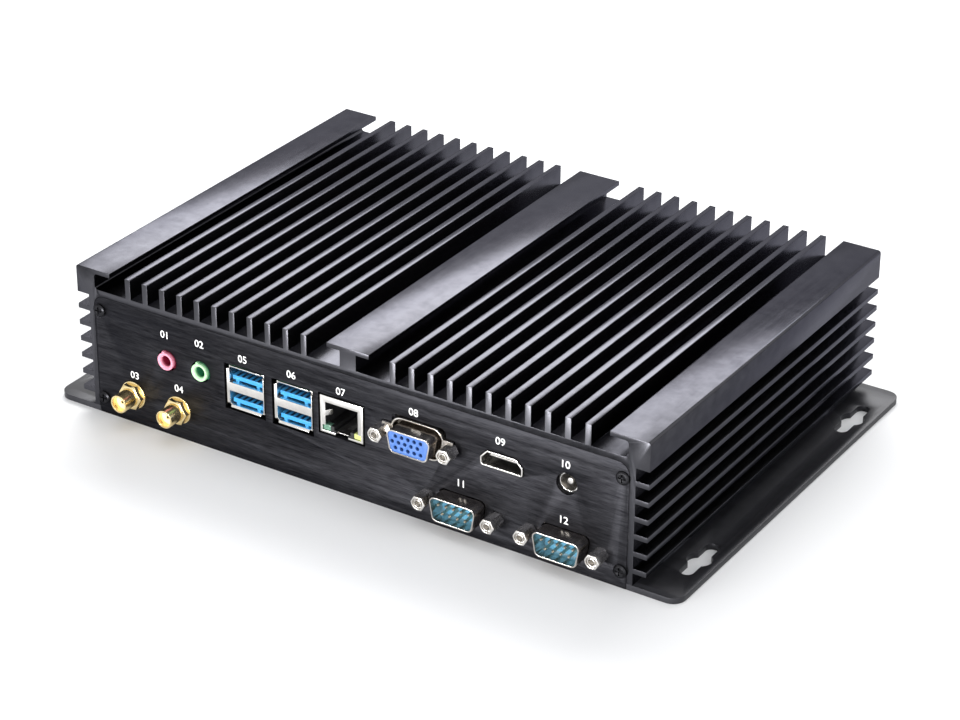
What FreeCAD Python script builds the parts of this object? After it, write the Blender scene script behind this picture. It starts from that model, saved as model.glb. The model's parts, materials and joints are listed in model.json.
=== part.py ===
import FreeCAD, Part
import math
import operator
import os
from types import SimpleNamespace

import Sketcher
from FreeCAD import Placement, Rotation, Vector

# Fanless industrial PC.
# Frame: x runs to the right seen from the port side, y runs back, z runs up.
# The origin is the middle of the base plate's underside. Millimetres.
#
# Every size is written once, in this table, and goes to the spreadsheet.
sizes = {
    # case
    "case_width": 213.0,          # over the tips of the side fins
    "case_depth": 151.0,          # front panel face to rear panel face
    "cover_height": 50.0,         # extrusion, above the base plate
    "base_thickness": 2.0,
    "panel_thickness": 2.0,
    "panel_gap": 0.15,            # running gap round both panels
    "panel_corner": 4.0,          # radius of the panels' upper corners
    # extrusion, top
    "top_plate": 2.0,
    "fin_height": 7.0,
    "fin_thickness": 2.0,
    "fin_pitch": 6.9,
    "fin_count": 11,              # in each of the two groups
    "fin_group_shift": 0.7,       # middle of a group outwards of the middle of its bay
    "rail_width": 13.6,           # outer bands
    "rail_block": 7.3,            # full-height part of an outer band
    "band_lip": 1.5,              # thickness of the overhanging lips
    "spine_width": 15.6,          # middle band
    "spine_web": 6.0,
    "edge_round": 1.0,
    "channel_round": 1.2,
    # extrusion, sides and inside
    "side_wall": 2.0,
    "side_fin_length": 4.6,
    "side_fin_thickness": 1.7,
    "side_fin_pitch": 6.0,
    "side_fin_count": 6,
    "boss_diameter": 4.8,         # upper screw ports
    "port_offset": 2.2,           # screw port axis from the side wall
    "port_drop": 5.2,             # upper screw ports below the ceiling
    "port_rise": 5.75,            # lower screw ports above the underside
    "foot_width": 8.0,            # thick rails that the base plate screws to
    "foot_height": 5.8,
    # base plate
    "ear_width": 11.2,
    "ear_corner": 4.5,
    "keyhole_offset": 5.0,        # slot middle from the fin tips
    "keyhole_inset": 24.0,        # slot middle from the ends of the case
    "keyhole_length": 20.0,
    "keyhole_slot": 4.5,
    "keyhole_head": 8.0,
    # screws
    "small_thread": 2.5,
    "small_head": 4.5,
    "small_head_height": 0.9,
    "small_head_rim": 0.5,        # upright edge of the head
    "small_head_crown": 3.4,      # flat on top of it
    "small_length": 7.0,
    "flat_thread": 3.0,
    "flat_head": 5.6,
    "flat_length": 6.0,
    "screw_clearance": 0.3,       # holes are wider than the threads by this
    "thread_fit": 0.0,            # tapped holes are as wide as the screws
    "recess_width": 0.55,         # arms of the cross recess
    "recess_depth": 0.6,
    "recess_reach": 1.35,         # arms from the middle
    "base_screw_inset": 15.5,     # end screws from the ends of the case
    "base_screw_edge": 5.3,       # base screws from the side wall
    # places of the front ports: the upper row from the middle of the case,
    # the lower row from the side walls
    "mic_place": -70.9,
    "speaker_place": -57.35,
    "usb_place": -40.0,
    "usb_pitch": 18.6,
    "lan_place": -2.75,
    "vga_place": 26.0,
    "hdmi_place": 56.0,
    "dc_place": 78.6,
    "antenna_edge": 14.7,
    "antenna_pitch": 18.5,
    "com_edge": 21.3,
    "com_spacing": 36.8,
    # heights of port axes: low ones from the underside, others below the board
    "antenna_rise": 10.5,
    "com_rise": 9.5,
    "audio_drop": 5.9,
    "usb_drop": 7.9,
    "vga_drop": 4.3,
    "hdmi_drop": 3.3,
    "dc_drop": 3.5,
    # how far connector bodies stand behind the panel
    "seat_gap": 0.3,
    "cutout_gap": 0.3,            # round a shell in its cut-out
    # audio jacks
    "audio_collar": 6.1,
    "audio_hole": 7.4,            # in the panel
    "audio_bore": 3.6,
    "audio_mouth": 4.8,           # countersink at the front of the bore
    "audio_key": 1.0,             # width of the key above the collar
    "audio_key_place": -0.9,
    "audio_key_gap": 0.35,        # key below the top of the hole
    "audio_key_back": 0.2,        # key behind the collar's front
    "audio_proud": 1.0,
    "audio_width": 11.0,
    "audio_below": 5.2,
    "audio_depth": 14.0,
    "audio_floor": 2.0,           # closed end of the bore
    # antenna sockets
    "barrel": 6.2,
    "barrel_proud": 8.2,
    "barrel_bore": 5.0,
    "antenna_hex": 8.0,
    "antenna_nut_height": 2.2,
    "antenna_washer": 9.6,
    "antenna_washer_thickness": 0.6,
    "antenna_shoulder": 2.0,
    "antenna_tail": 9.0,
    "antenna_tail_wall": 0.4,
    "insulator_back": 2.2,
    "antenna_pin": 1.3,
    "antenna_pin_back": 2.0,
    "antenna_pin_bore": 0.8,
    "antenna_pin_depth": 2.6,
    "antenna_pin_tail": 1.0,
    # USB stacks
    "usb_width": 13.7,
    "usb_height": 14.2,
    "usb_depth": 17.0,
    "usb_wall": 0.4,
    "usb_web": 2.9,               # metal strip between the two mouths
    "usb_lip": 0.4,               # springs that flare out of the mouth
    "usb_lip_length": 0.9,
    "usb_lip_inset": 1.0,         # lips stop this far from the corners
    "usb_flare": 0.55,            # the mouths widen by this at the front
    "usb_flare_depth": 0.45,
    "usb_corner_cut": 0.9,        # open corners between the four springs
    "insert_root": 4.0,
    "insert_back": 1.5,
    "usb_cutout_gap": 1.1,
    "tongue_inset": 0.6,          # tongue from the sides of its mouth
    "tongue_thickness": 1.5,
    "tongue_rise": 0.7,           # tongue above the floor of its mouth
    "tongue_back": 1.4,           # tongue behind the mouth
    "contact_back": 0.1,          # contacts behind the tongue's edge
    "contact_width": 0.8,
    "contact_pitch": 2.0,
    "contact_length": 3.6,
    "contact_height": 0.15,
    "tongue_foot": 1.2,           # feet under the tongue, from its sides too
    # network socket
    "lan_width": 16.1,
    "lan_height": 13.0,
    "lan_depth": 20.0,
    "lan_wall": 0.4,
    "lan_core_gap": 0.5,          # insert from the open back of the shell
    "lan_cutout_gap": 0.7,
    "jack_width": 12.2,
    "jack_height": 8.2,
    "jack_top": 2.2,              # mouth below the top of the shell
    "jack_depth": 13.0,
    "latch_width": 6.2,
    "latch_height": 1.3,
    "latch_slot": 4.8,
    "lan_sill": 0.7,              # strip of the shell under the lights
    "lan_frame": 0.8,             # and beside them
    "lan_notch": 1.6,             # depth of the gap in the strip at the latch
    "light_width": 2.9,
    "light_height": 1.9,
    "light_depth": 2.5,
    "light_headroom": 0.8,        # open space above each light
    "lan_spring": 1.9,            # height of the spring finger in the mouth
    "lan_spring_drop": 3.0,       # finger below the roof of the mouth
    "lan_spring_bend": 1.5,       # how far it leans in
    "lan_spring_length": 2.2,
    "lan_contact": 0.4,
    "lan_contact_back": 3.2,
    "lan_contact_pitch": 1.02,
    # D-shaped connectors
    "flange_margin": 5.8,         # flange wider than the screwlock spacing
    "flange_height": 12.5,
    "flange_thickness": 0.8,
    "shell_proud": 6.0,
    "shell_wall": 0.45,
    "slant": 1.4,                 # sides lean in by this from top to bottom
    "corner": 2.0,
    "lock_spacing": 24.99,
    "lock_hex": 4.6,
    "lock_proud": 6.0,
    "lock_thread": 2.8,
    "lock_bore": 2.2,
    "lock_bore_depth": 4.5,
    "lock_tail": 5.0,
    "lock_ring": 3.7,             # ring turned into the front face
    "lock_core": 2.7,             # and the core left inside it
    "lock_ring_depth": 0.9,
    "hex_face_inset": 0.2,        # bevelled faces narrower than their flats
    "dsub_body_width": 19.0,
    "dsub_body_depth": 8.0,
    "vga_width": 16.3,
    "vga_height": 7.9,
    "vga_rim": 1.3,               # gap between the shell and the rim round it
    "vga_rim_proud": 1.0,
    "vga_ear_reach": 0.4,         # ears beyond the screwlock axes
    "vga_ear_height": 5.2,
    "vga_ear_proud": 0.8,
    "vga_face_back": 0.3,         # insert behind the mouth
    "vga_hole": 1.35,
    "vga_hole_depth": 4.0,
    "vga_pitch": 2.29,
    "vga_row": 1.98,
    "vga_outer_rows": -0.2,       # middle of the upper and lower rows of holes
    "vga_middle_row": -1.35,      # middle of the row between them
    "vga_body_below": 5.6,
    "com_width": 17.0,
    "com_height": 8.4,
    "com_body_height": 10.6,
    "com_pin": 1.0,
    "com_pin_back": 0.8,          # pin tips behind the rim
    "com_pin_tip": 0.4,
    "com_pitch": 2.77,
    "com_row": 2.84,
    "com_floor": 0.4,             # insert in front of the panel
    "com_pin_tail": 4.0,
    # HDMI socket
    "hdmi_width": 15.0,
    "hdmi_top": 10.4,
    "hdmi_height": 5.4,
    "hdmi_side": 2.9,             # upright part of the sides
    "hdmi_wall": 0.45,
    "hdmi_corner": 0.9,
    "hdmi_depth": 11.0,
    "hdmi_proud": 0.5,
    "hdmi_root": 2.0,
    "hdmi_tongue": 10.6,
    "hdmi_tongue_thickness": 1.1,
    "hdmi_tongue_drop": 0.9,      # tongue below the roof of the mouth
    "hdmi_tongue_back": 1.2,
    "hdmi_tab_place": 3.1,
    "hdmi_tab_width": 1.6,
    "hdmi_tab_length": 2.0,
    # power inlet
    "dc_hole": 7.3,
    "dc_barrel": 7.1,
    "dc_bore": 5.8,
    "dc_sleeve": 0.3,
    "dc_lip": 6.7,                # wider front end of the sleeve
    "dc_pin": 2.1,
    "dc_pin_back": 2.0,
    "dc_face_back": 1.4,
    "dc_floor": 2.0,
    "dc_width": 9.0,
    "dc_below": 5.8,
    "dc_depth": 13.0,
    # rear panel
    "rear_usb_place": 8.0,
    "rear_usb_pitch": 22.0,
    "button_edge": 17.9,          # button axis from the side wall
    "button_rise": 17.0,
    "button_bezel": 18.0,
    "button_bezel_proud": 2.0,
    "button_thread": 16.0,
    "button_depth": 16.0,
    "button_cap": 12.0,
    "button_gap": 0.3,
    "button_cap_proud": 2.0,      # beyond the bezel
    "button_travel": 1.5,
    "button_cap_depth": 8.0,
    "button_nut": 19.0,
    "button_nut_height": 3.0,
    "light_edge": 20.0,           # first light from the button
    "light_pitch": 7.0,
    "status_light": 3.0,
    "status_depth": 8.0,
    "status_proud": 0.4,
    # mainboard and what is on it
    "board_left_gap": 17.9,       # board edge from the side walls
    "board_right_gap": 9.9,
    "board_end_gap": 1.2,         # board edge from a panel's inside
    "board_thickness": 1.6,
    "board_hole_edge": 4.0,       # holes from the board's sides
    "board_hole_inset": 20.0,     # and from its ends, behind the ports
    "standoff_length": 8.4,
    "standoff_hex": 5.0,
    "standoff_stub": 1.6,
    "board_screw_length": 5.0,
    "package_width": 38.0,
    "package_depth": 28.0,
    "package_height": 1.2,
    "die_width": 14.0,
    "die_depth": 10.0,
    "die_height": 0.5,
    "pad_thickness": 0.5,
    "block_width": 60.0,
    "block_depth": 64.0,
    "block_screw_inset": 6.0,
    "block_thread_depth": 5.0,
    "block_head_depth": 2.4,
    "memory_place": -6.0,
    "memory_width": 67.6,
    "memory_length": 30.0,
    "memory_thickness": 1.1,
    "memory_drop": 2.9,           # module below the board
    "memory_front": -38.0,
    "socket_depth": 7.0,
    "socket_height": 5.2,
    "socket_bite": 3.0,           # module inside its socket
    "chip_width": 9.0,
    "chip_length": 12.0,
    "chip_height": 1.0,
    "chip_pitch": 15.0,
    "chip_front": 4.0,
    "chip_count": 4,
    "socket_margin": 1.0,
    "wireless_place": -66.0,
    "wireless_front": -44.0,
    "wireless_width": 22.0,
    "wireless_length": 30.0,
    "wireless_drop": 2.4,
    "wireless_thickness": 0.8,
    "can_side": 2.0,
    "can_end": 6.0,
    "can_height": 1.4,
    "card_socket_reach": 3.0,
    "card_post": 4.0,
    "card_post_inset": 2.5,
    "battery_place": 62.0,
    "battery_depth_place": 20.0,
    "battery_diameter": 20.0,
    "battery_height": 3.2,
    # drive on the base plate
    "drive_width": 100.0,
    "drive_length": 69.85,
    "drive_height": 7.0,
    "drive_gap": 6.9,             # drive from the left foot
    "drive_depth_place": 22.0,
    "drive_hole_front": 14.0,
    "drive_hole_pitch": 76.6,
    "drive_hole_side": 61.72,
    "drive_screw_length": 4.5,
}

doc = FreeCAD.newDocument("fanless_industrial_pc")
sheet = doc.addObject("Spreadsheet::Sheet", "Sizes")
for row, (alias, number) in enumerate(sizes.items(), start=1):
    sheet.set(f"A{row}", alias)
    sheet.set(f"B{row}", str(number))
    sheet.setAlias(f"B{row}", alias)
doc.recompute()

signs = {"+": operator.add, "-": operator.sub, "*": operator.mul, "/": operator.truediv}


class Size:
    """A number that keeps the spreadsheet formula it comes from."""

    def __init__(self, number, formula):
        self.number = number
        self.formula = formula

    def __add__(self, other):
        return combine(self, "+", other)

    def __radd__(self, other):
        return combine(other, "+", self)

    def __sub__(self, other):
        return combine(self, "-", other)

    def __rsub__(self, other):
        return combine(other, "-", self)

    def __mul__(self, other):
        return combine(self, "*", other)

    def __rmul__(self, other):
        return combine(other, "*", self)

    def __truediv__(self, other):
        return combine(self, "/", other)

    def __neg__(self):
        return combine(0, "-", self)


def as_size(thing):
    if isinstance(thing, Size):
        return thing
    return Size(float(thing), f"({float(thing)})")


def combine(left, sign, right):
    left, right = as_size(left), as_size(right)
    number = signs[sign](left.number, right.number)
    return Size(number, f"({left.formula} {sign} {right.formula})")


size = SimpleNamespace(**{alias: Size(float(sheet.get(alias)), f"Sizes.{alias}") for alias in sizes})

# Places that many pieces share.
half_width = size.case_width / 2
half_depth = size.case_depth / 2
inner_half = half_width - size.side_fin_length - size.side_wall
case_top = size.base_thickness + size.cover_height
fin_floor = case_top - size.fin_height
ceiling = fin_floor - size.top_plate
panel_half = inner_half - size.panel_gap
panel_top = ceiling - size.panel_gap
port_x = inner_half - size.port_offset
port_high = ceiling - size.port_drop
board_top = ceiling - size.standoff_length
board_under = board_top - size.board_thickness
body_front = size.panel_thickness + size.seat_gap
foot_inside = inner_half - size.foot_width
flange_width = size.lock_spacing + size.flange_margin
usb_places = (size.usb_place, size.usb_place + size.usb_pitch)
rear_usb_places = (size.rear_usb_place + size.rear_usb_pitch, size.rear_usb_place)
antenna_places = (size.antenna_edge - inner_half, size.antenna_edge - inner_half + size.antenna_pitch)
com_places = (inner_half - size.com_edge - size.com_spacing, inner_half - size.com_edge)
button_place = inner_half - size.button_edge
light_places = (button_place - size.light_edge, button_place - size.light_edge - size.light_pitch)


# ---------------------------------------------------------------- helpers

nodes = []


def bind(thing, **formulas):
    for name, amount in formulas.items():
        thing.setExpression(name, as_size(amount).formula)


def place(thing, x=0, y=0, z=0):
    for axis, amount in zip("xyz", (x, y, z)):
        thing.setExpression(f"Placement.Base.{axis}", as_size(amount).formula)


def settled(thing):
    """A plain solid keeps its own place when it is moved as part of a group."""
    if thing.TypeId in ("Part::Box", "Part::Cylinder", "Part::Cone", "Part::Prism"):
        return group(thing.Name + "_piece", [thing])
    return thing


def finish(label, thing, x=0, y=0, z=0, turned=False):
    """Name a sub-part and put it in its place, turned for the rear panel."""
    thing = settled(thing)
    thing.Label = label
    if turned:
        thing.Placement = Placement(Vector(), Rotation(Vector(0, 0, 1), 180))
    place(thing, x, y, z)
    nodes.append(thing)
    return thing


def box(name, across, along, up):
    """A block between two x, two y and two z places."""
    thing = doc.addObject("Part::Box", name)
    bind(thing, Length=as_size(across[1]) - across[0])
    bind(thing, Width=as_size(along[1]) - along[0])
    bind(thing, Height=as_size(up[1]) - up[0])
    place(thing, across[0], along[0], up[0])
    return thing


def stand(thing, axis, start, at):
    """Lay a round or hexagonal piece along y or leave it along z."""
    if axis == "y":
        thing.Placement = Placement(Vector(), Rotation(Vector(1, 0, 0), -90))
        place(thing, at[0], start, at[1])
    else:
        place(thing, at[0], at[1], start)
    return thing


def cylinder(name, diameter, start, end, axis="y", at=(0, 0)):
    thing = doc.addObject("Part::Cylinder", name)
    bind(thing, Radius=as_size(diameter) / 2, Height=as_size(end) - start)
    return stand(thing, axis, start, at)


def cone(name, first, last, start, end, axis="y", at=(0, 0)):
    thing = doc.addObject("Part::Cone", name)
    bind(thing, Radius1=as_size(first) / 2, Radius2=as_size(last) / 2, Height=as_size(end) - start)
    return stand(thing, axis, start, at)


def hexagon(name, across_flats, start, end, axis="y", at=(0, 0)):
    thing = doc.addObject("Part::Prism", name)
    thing.Polygon = 6
    bind(thing, Circumradius=as_size(across_flats) / 3 ** 0.5, Height=as_size(end) - start)
    return stand(thing, axis, start, at)


def bevelled_hexagon(name, across_flats, start, end):
    """A hexagon along y whose front corners are turned off at 30 degrees."""
    prism = hexagon(name + "_prism", across_flats, start, end)
    first = across_flats - size.hex_face_inset
    last = first + (as_size(end) - start) * 2 * 3 ** 0.5
    thing = doc.addObject("Part::Common", name)
    thing.Base = prism
    thing.Tool = cone(name + "_turned", first, last, start, end)
    thing.Refine = True
    return thing


def taper(name, front, back, mouth, depth):
    """A four-sided funnel along y between two (left, right, low, high) openings."""
    thing = doc.addObject("Part::Wedge", name)
    left, right, low, high = front
    bind(thing, Xmin=left, Xmax=right, Zmin=low, Zmax=high, Ymin=mouth, Ymax=depth)
    left, right, low, high = back
    bind(thing, X2min=left, X2max=right, Z2min=low, Z2max=high)
    return thing


def join(name, *parts):
    thing = doc.addObject("Part::MultiFuse", name)
    thing.Shapes = list(parts)
    thing.Refine = True
    return thing


def cut(name, base, *tools):
    thing = doc.addObject("Part::Cut", name)
    thing.Base = base
    thing.Tool = tools[0] if len(tools) == 1 else join(name + "_tools", *tools)
    thing.Refine = True
    return thing


def group(name, parts):
    thing = doc.addObject("Part::Compound", name)
    thing.Links = list(parts)
    return thing


def copies(name, master, spots):
    """The same piece at several (x, y, z) places."""
    master = settled(master)
    links = []
    for number, spot in enumerate(spots, start=1):
        link = doc.addObject("App::Link", f"{name}_{number}")
        link.setLink(master)
        place(link, *spot)
        links.append(link)
    return group(name, links)


def new_body(name):
    return doc.addObject("PartDesign::Body", name)


def new_sketch(body, name, plane, lift=0):
    """A sketch on a plane of the body's own origin, lifted along its normal."""
    sketch = body.newObject("Sketcher::SketchObject", name)
    support = [item for item in body.Origin.OriginFeatures if item.Role == plane][0]
    sketch.AttachmentSupport = (support, [""])
    sketch.MapMode = "FlatFace"
    sketch.setExpression("AttachmentOffset.Base.z", as_size(lift).formula)
    return sketch


def measure(sketch, kind, amount, *ends):
    """A dimension whose value is a spreadsheet formula."""
    amount = as_size(amount)
    number = sketch.addConstraint(Sketcher.Constraint(kind, *ends, amount.number))
    sketch.setExpression(f"Constraints[{number}]", amount.formula)


def outline(sketch, corners):
    """A closed run of straight lines, each corner measured from the origin."""
    first = sketch.GeometryCount
    corners = [(as_size(x), as_size(y)) for x, y in corners]
    spots = [Vector(x.number, y.number, 0) for x, y in corners]
    for number, spot in enumerate(spots):
        following = spots[(number + 1) % len(spots)]
        sketch.addGeometry(Part.LineSegment(spot, following))
    for number in range(len(spots)):
        following = first + (number + 1) % len(spots)
        sketch.addConstraint(Sketcher.Constraint("Coincident", first + number, 2, following, 1))
    for number, (x, y) in enumerate(corners):
        measure(sketch, "DistanceX", x, -1, 1, first + number, 1)
        measure(sketch, "DistanceY", y, -1, 1, first + number, 1)


def rectangle(sketch, across, up):
    left, right = across
    low, high = up
    outline(sketch, [(left, low), (right, low), (right, high), (left, high)])


def circle(sketch, x, y, diameter):
    x, y, diameter = as_size(x), as_size(y), as_size(diameter)
    ring = Part.Circle(Vector(x.number, y.number, 0), Vector(0, 0, 1), diameter.number / 2)
    number = sketch.addGeometry(ring)
    measure(sketch, "Diameter", diameter, number)
    measure(sketch, "DistanceX", x, -1, 1, number, 3)
    measure(sketch, "DistanceY", y, -1, 1, number, 3)


def slot(sketch, x, y, length, width):
    """A slot along the sketch's second axis, with round ends."""
    x, y, radius = as_size(x), as_size(y), as_size(width) / 2
    reach = as_size(length) / 2 - radius
    ends = []
    for side, (start, stop) in ((1, (0, 180)), (-1, (180, 360))):
        middle = y + reach * side
        arc = Part.ArcOfCircle(
            Part.Circle(Vector(x.number, middle.number, 0), Vector(0, 0, 1), radius.number),
            math.radians(start),
            math.radians(stop),
        )
        number = sketch.addGeometry(arc)
        measure(sketch, "Radius", radius, number)
        measure(sketch, "DistanceX", x, -1, 1, number, 3)
        measure(sketch, "DistanceY", middle, -1, 1, number, 3)
        ends.append(number)
    upper, lower = ends
    for side, upper_end, lower_end in ((1, 1, 2), (-1, 2, 1)):
        wall = (x + radius * side).number
        top, bottom = (y + reach).number, (y - reach).number
        line = sketch.addGeometry(Part.LineSegment(Vector(wall, top, 0), Vector(wall, bottom, 0)))
        sketch.addConstraint(Sketcher.Constraint("Tangent", upper, upper_end, line, 1))
        sketch.addConstraint(Sketcher.Constraint("Tangent", lower, lower_end, line, 2))


def d_corners(x, y, width, height, grow=0):
    """The D of these connectors: wide side up, sides leaning in downwards."""
    x, y = as_size(x), as_size(y)
    wide = width / 2 + grow
    narrow = wide - size.slant
    tall = height / 2 + grow
    return [(x - narrow, y - tall), (x + narrow, y - tall), (x + wide, y + tall), (x - wide, y + tall)]


def pad(body, name, sketch, length, symmetric=False, backwards=False):
    feature = body.newObject("PartDesign::Pad", name)
    feature.Profile = sketch
    feature.SideType = "Symmetric" if symmetric else "One side"
    feature.Reversed = backwards
    bind(feature, Length=length)
    return feature


def pocket(body, name, sketch, length, symmetric=False, backwards=False):
    feature = body.newObject("PartDesign::Pocket", name)
    feature.Profile = sketch
    feature.SideType = "Symmetric" if symmetric else "One side"
    feature.Reversed = backwards
    bind(feature, Length=length)
    return feature


def row_of(body, name, feature, axis, pitch, count):
    """Repeat a feature along an axis of its own sketch."""
    pattern = body.newObject("PartDesign::LinearPattern", name)
    pattern.Originals = [feature]
    pattern.Direction = (feature.Profile[0], [axis])
    bind(pattern, Length=pitch * (count - 1), Occurrences=count)
    body.Tip = pattern
    return pattern


def edges_at(shape, direction, spots):
    """Names of the straight edges along a direction that pass these places."""
    names = []
    along = "xyz".index(direction)
    others = [axis for axis in range(3) if axis != along]
    wanted = [(as_size(first).number, as_size(second).number) for first, second in spots]
    for number, edge in enumerate(shape.Edges, start=1):
        if not isinstance(edge.Curve, Part.Line):
            continue
        start, end = edge.Vertexes[0].Point, edge.Vertexes[-1].Point
        if abs((end - start)[along]) < edge.Length * 0.999:
            continue
        if any(all(abs(start[axis] - place) < 0.01 for axis, place in zip(others, spot)) for spot in wanted):
            names.append(f"Edge{number}")
    return names


def round_off(body, name, radius, direction, spots):
    doc.recompute()
    base = body.Tip
    feature = body.newObject("PartDesign::Fillet", name)
    feature.Base = (base, edges_at(base.Shape, direction, spots))
    bind(feature, Radius=radius)
    return feature


# ---------------------------------------------------------------- case

def heatsink_cover():
    """One extrusion: fins, bands, walls, screw ports and feet in one section."""
    body = new_body("cover_body")
    length = size.case_depth
    through = size.case_depth + size.panel_thickness

    section = new_sketch(body, "cover_section", "XZ_Plane")
    rectangle(section, (-half_width, half_width), (size.base_thickness, case_top))
    pad(body, "cover_block", section, length, symmetric=True)

    hollow = new_sketch(body, "hollow_section", "XZ_Plane")
    rectangle(hollow, (-inner_half, inner_half), (size.base_thickness - 1, ceiling))
    pocket(body, "hollow", hollow, through, symmetric=True)
    corners = [(-inner_half, ceiling), (inner_half, ceiling)]
    round_off(body, "hollow_corners", size.panel_corner + size.panel_gap, "y", corners)

    ports = new_sketch(body, "port_section", "XZ_Plane")
    for side in (-1, 1):
        circle(ports, port_x * side, port_high, size.boss_diameter)
    pad(body, "upper_ports", ports, length - size.panel_thickness * 2, symmetric=True)

    feet = new_sketch(body, "foot_section", "XZ_Plane")
    foot_outside = inner_half + size.side_wall / 2
    foot_top = size.base_thickness + size.foot_height
    rectangle(feet, (foot_inside, foot_outside), (size.base_thickness, foot_top))
    rectangle(feet, (-foot_outside, -foot_inside), (size.base_thickness, foot_top))
    pad(body, "feet", feet, length - size.panel_thickness * 2, symmetric=True)

    # The feet's front ends are stepped back behind the D-socket flanges.
    relief_edge = com_places[1] + flange_width / 2 + size.cutout_gap
    relief_low = size.com_rise - size.flange_height / 2 - size.cutout_gap
    reliefs = new_sketch(body, "relief_section", "XZ_Plane", half_depth - size.panel_thickness)
    rectangle(reliefs, (foot_inside - 1, relief_edge), (relief_low, foot_top + 1))
    rectangle(reliefs, (-relief_edge, 1 - foot_inside), (relief_low, foot_top + 1))
    pocket(body, "foot_reliefs", reliefs, size.flange_thickness + size.seat_gap)

    bores = new_sketch(body, "port_bores", "XZ_Plane")
    for side in (-1, 1):
        for height in (size.port_rise, port_high):
            circle(bores, port_x * side, height, size.small_thread + size.thread_fit)
    pocket(body, "bores", bores, through, symmetric=True)

    # The first gap of each group of fins, repeated to the last fin.
    gap = size.fin_pitch - size.fin_thickness
    rail_edge = half_width - size.rail_width
    group_middle = (rail_edge + size.spine_width / 2) / 2 + size.fin_group_shift
    group_start = size.fin_pitch * (size.fin_count - 1) / 2
    fin_gap = new_sketch(body, "fin_gap_section", "XZ_Plane")
    for side in (-1, 1):
        left = group_middle * side - group_start + size.fin_thickness / 2
        rectangle(fin_gap, (left, left + gap), (fin_floor, case_top + 1))
    first_gap = pocket(body, "first_fin_gap", fin_gap, through, symmetric=True)
    row_of(body, "fin_gaps", first_gap, "H_Axis", size.fin_pitch, size.fin_count - 1)

    # Undercut channels beside the three bands.
    lip_low = case_top - size.band_lip
    outer_fin = group_middle + group_start + size.fin_thickness / 2
    inner_fin = group_middle - group_start - size.fin_thickness / 2
    block_face = half_width - size.rail_block
    channels = new_sketch(body, "channel_section", "XZ_Plane")
    for side in (-1, 1):
        outline(channels, [
            (outer_fin * side, fin_floor),
            (block_face * side, fin_floor),
            (block_face * side, lip_low),
            (rail_edge * side, lip_low),
            (rail_edge * side, case_top + 1),
            (outer_fin * side, case_top + 1),
        ])
        outline(channels, [
            (inner_fin * side, fin_floor),
            (size.spine_web / 2 * side, fin_floor),
            (size.spine_web / 2 * side, lip_low),
            (size.spine_width / 2 * side, lip_low),
            (size.spine_width / 2 * side, case_top + 1),
            (inner_fin * side, case_top + 1),
        ])
    pocket(body, "channels", channels, through, symmetric=True)

    # Side fins, from the foot of the wall up to the outer band.
    side_gap = new_sketch(body, "side_gap_section", "XZ_Plane")
    root = half_width - size.side_fin_length
    gap_top = size.base_thickness + size.side_fin_pitch - size.side_fin_thickness
    rectangle(side_gap, (root, half_width + 1), (size.base_thickness, gap_top))
    rectangle(side_gap, (-half_width - 1, -root), (size.base_thickness, gap_top))
    first_side_gap = pocket(body, "first_side_gap", side_gap, through, symmetric=True)
    row_of(body, "side_gaps", first_side_gap, "V_Axis", size.side_fin_pitch, size.side_fin_count + 1)

    # Tapped holes: base screws in the feet, standoffs and heat block above.
    feet_holes = new_sketch(body, "foot_holes", "XY_Plane", size.base_thickness)
    for x, y in base_screw_spots():
        circle(feet_holes, x, y, size.flat_thread + size.thread_fit)
    pocket(body, "foot_taps", feet_holes, size.flat_length - size.base_thickness, backwards=True)
    post_holes = new_sketch(body, "post_holes", "XY_Plane", ceiling)
    for x, y in board_hole_spots():
        circle(post_holes, x, y, size.small_thread + size.thread_fit)
    pocket(body, "post_taps", post_holes, size.standoff_stub, backwards=True)
    block_holes = new_sketch(body, "block_holes", "XY_Plane", ceiling)
    for x, y in block_screw_spots():
        circle(block_holes, x, y, size.small_thread + size.thread_fit)
    pocket(body, "block_taps", block_holes, size.block_thread_depth, backwards=True)

    round_off(body, "band_edges", size.edge_round, "y", [(-half_width, case_top), (half_width, case_top)])
    channel_corners = []
    for side in (-1, 1):
        channel_corners += [(block_face * side, fin_floor), (block_face * side, lip_low)]
    round_off(body, "channel_corners", size.channel_round, "y", channel_corners)
    finish("heatsink_cover", body)


def base_screw_spots():
    reach = half_depth - size.base_screw_inset
    x = inner_half - size.base_screw_edge
    return [(x * side, reach * end) for side in (-1, 1) for end in (-1, 0, 1)]


def board_hole_spots():
    left, right = board_edges()
    along = board_half_depth() - size.board_hole_inset
    return [
        (x, along * end)
        for x in (left + size.board_hole_edge, right - size.board_hole_edge)
        for end in (-1, 1)
    ]


def board_edges():
    return size.board_left_gap - inner_half, inner_half - size.board_right_gap


def board_half_depth():
    return half_depth - size.panel_thickness - size.board_end_gap


def block_screw_spots():
    reach = size.block_depth / 2 - size.block_screw_inset
    return [(as_size(0), -reach), (as_size(0), reach)]


def drive_left():
    return size.drive_gap - foot_inside


def drive_screw_spots():
    left = drive_left() + size.drive_hole_front
    side = size.drive_hole_side / 2
    return [
        (left + size.drive_hole_pitch * step, size.drive_depth_place + side * end)
        for step in (0, 1)
        for end in (-1, 1)
    ]


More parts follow.
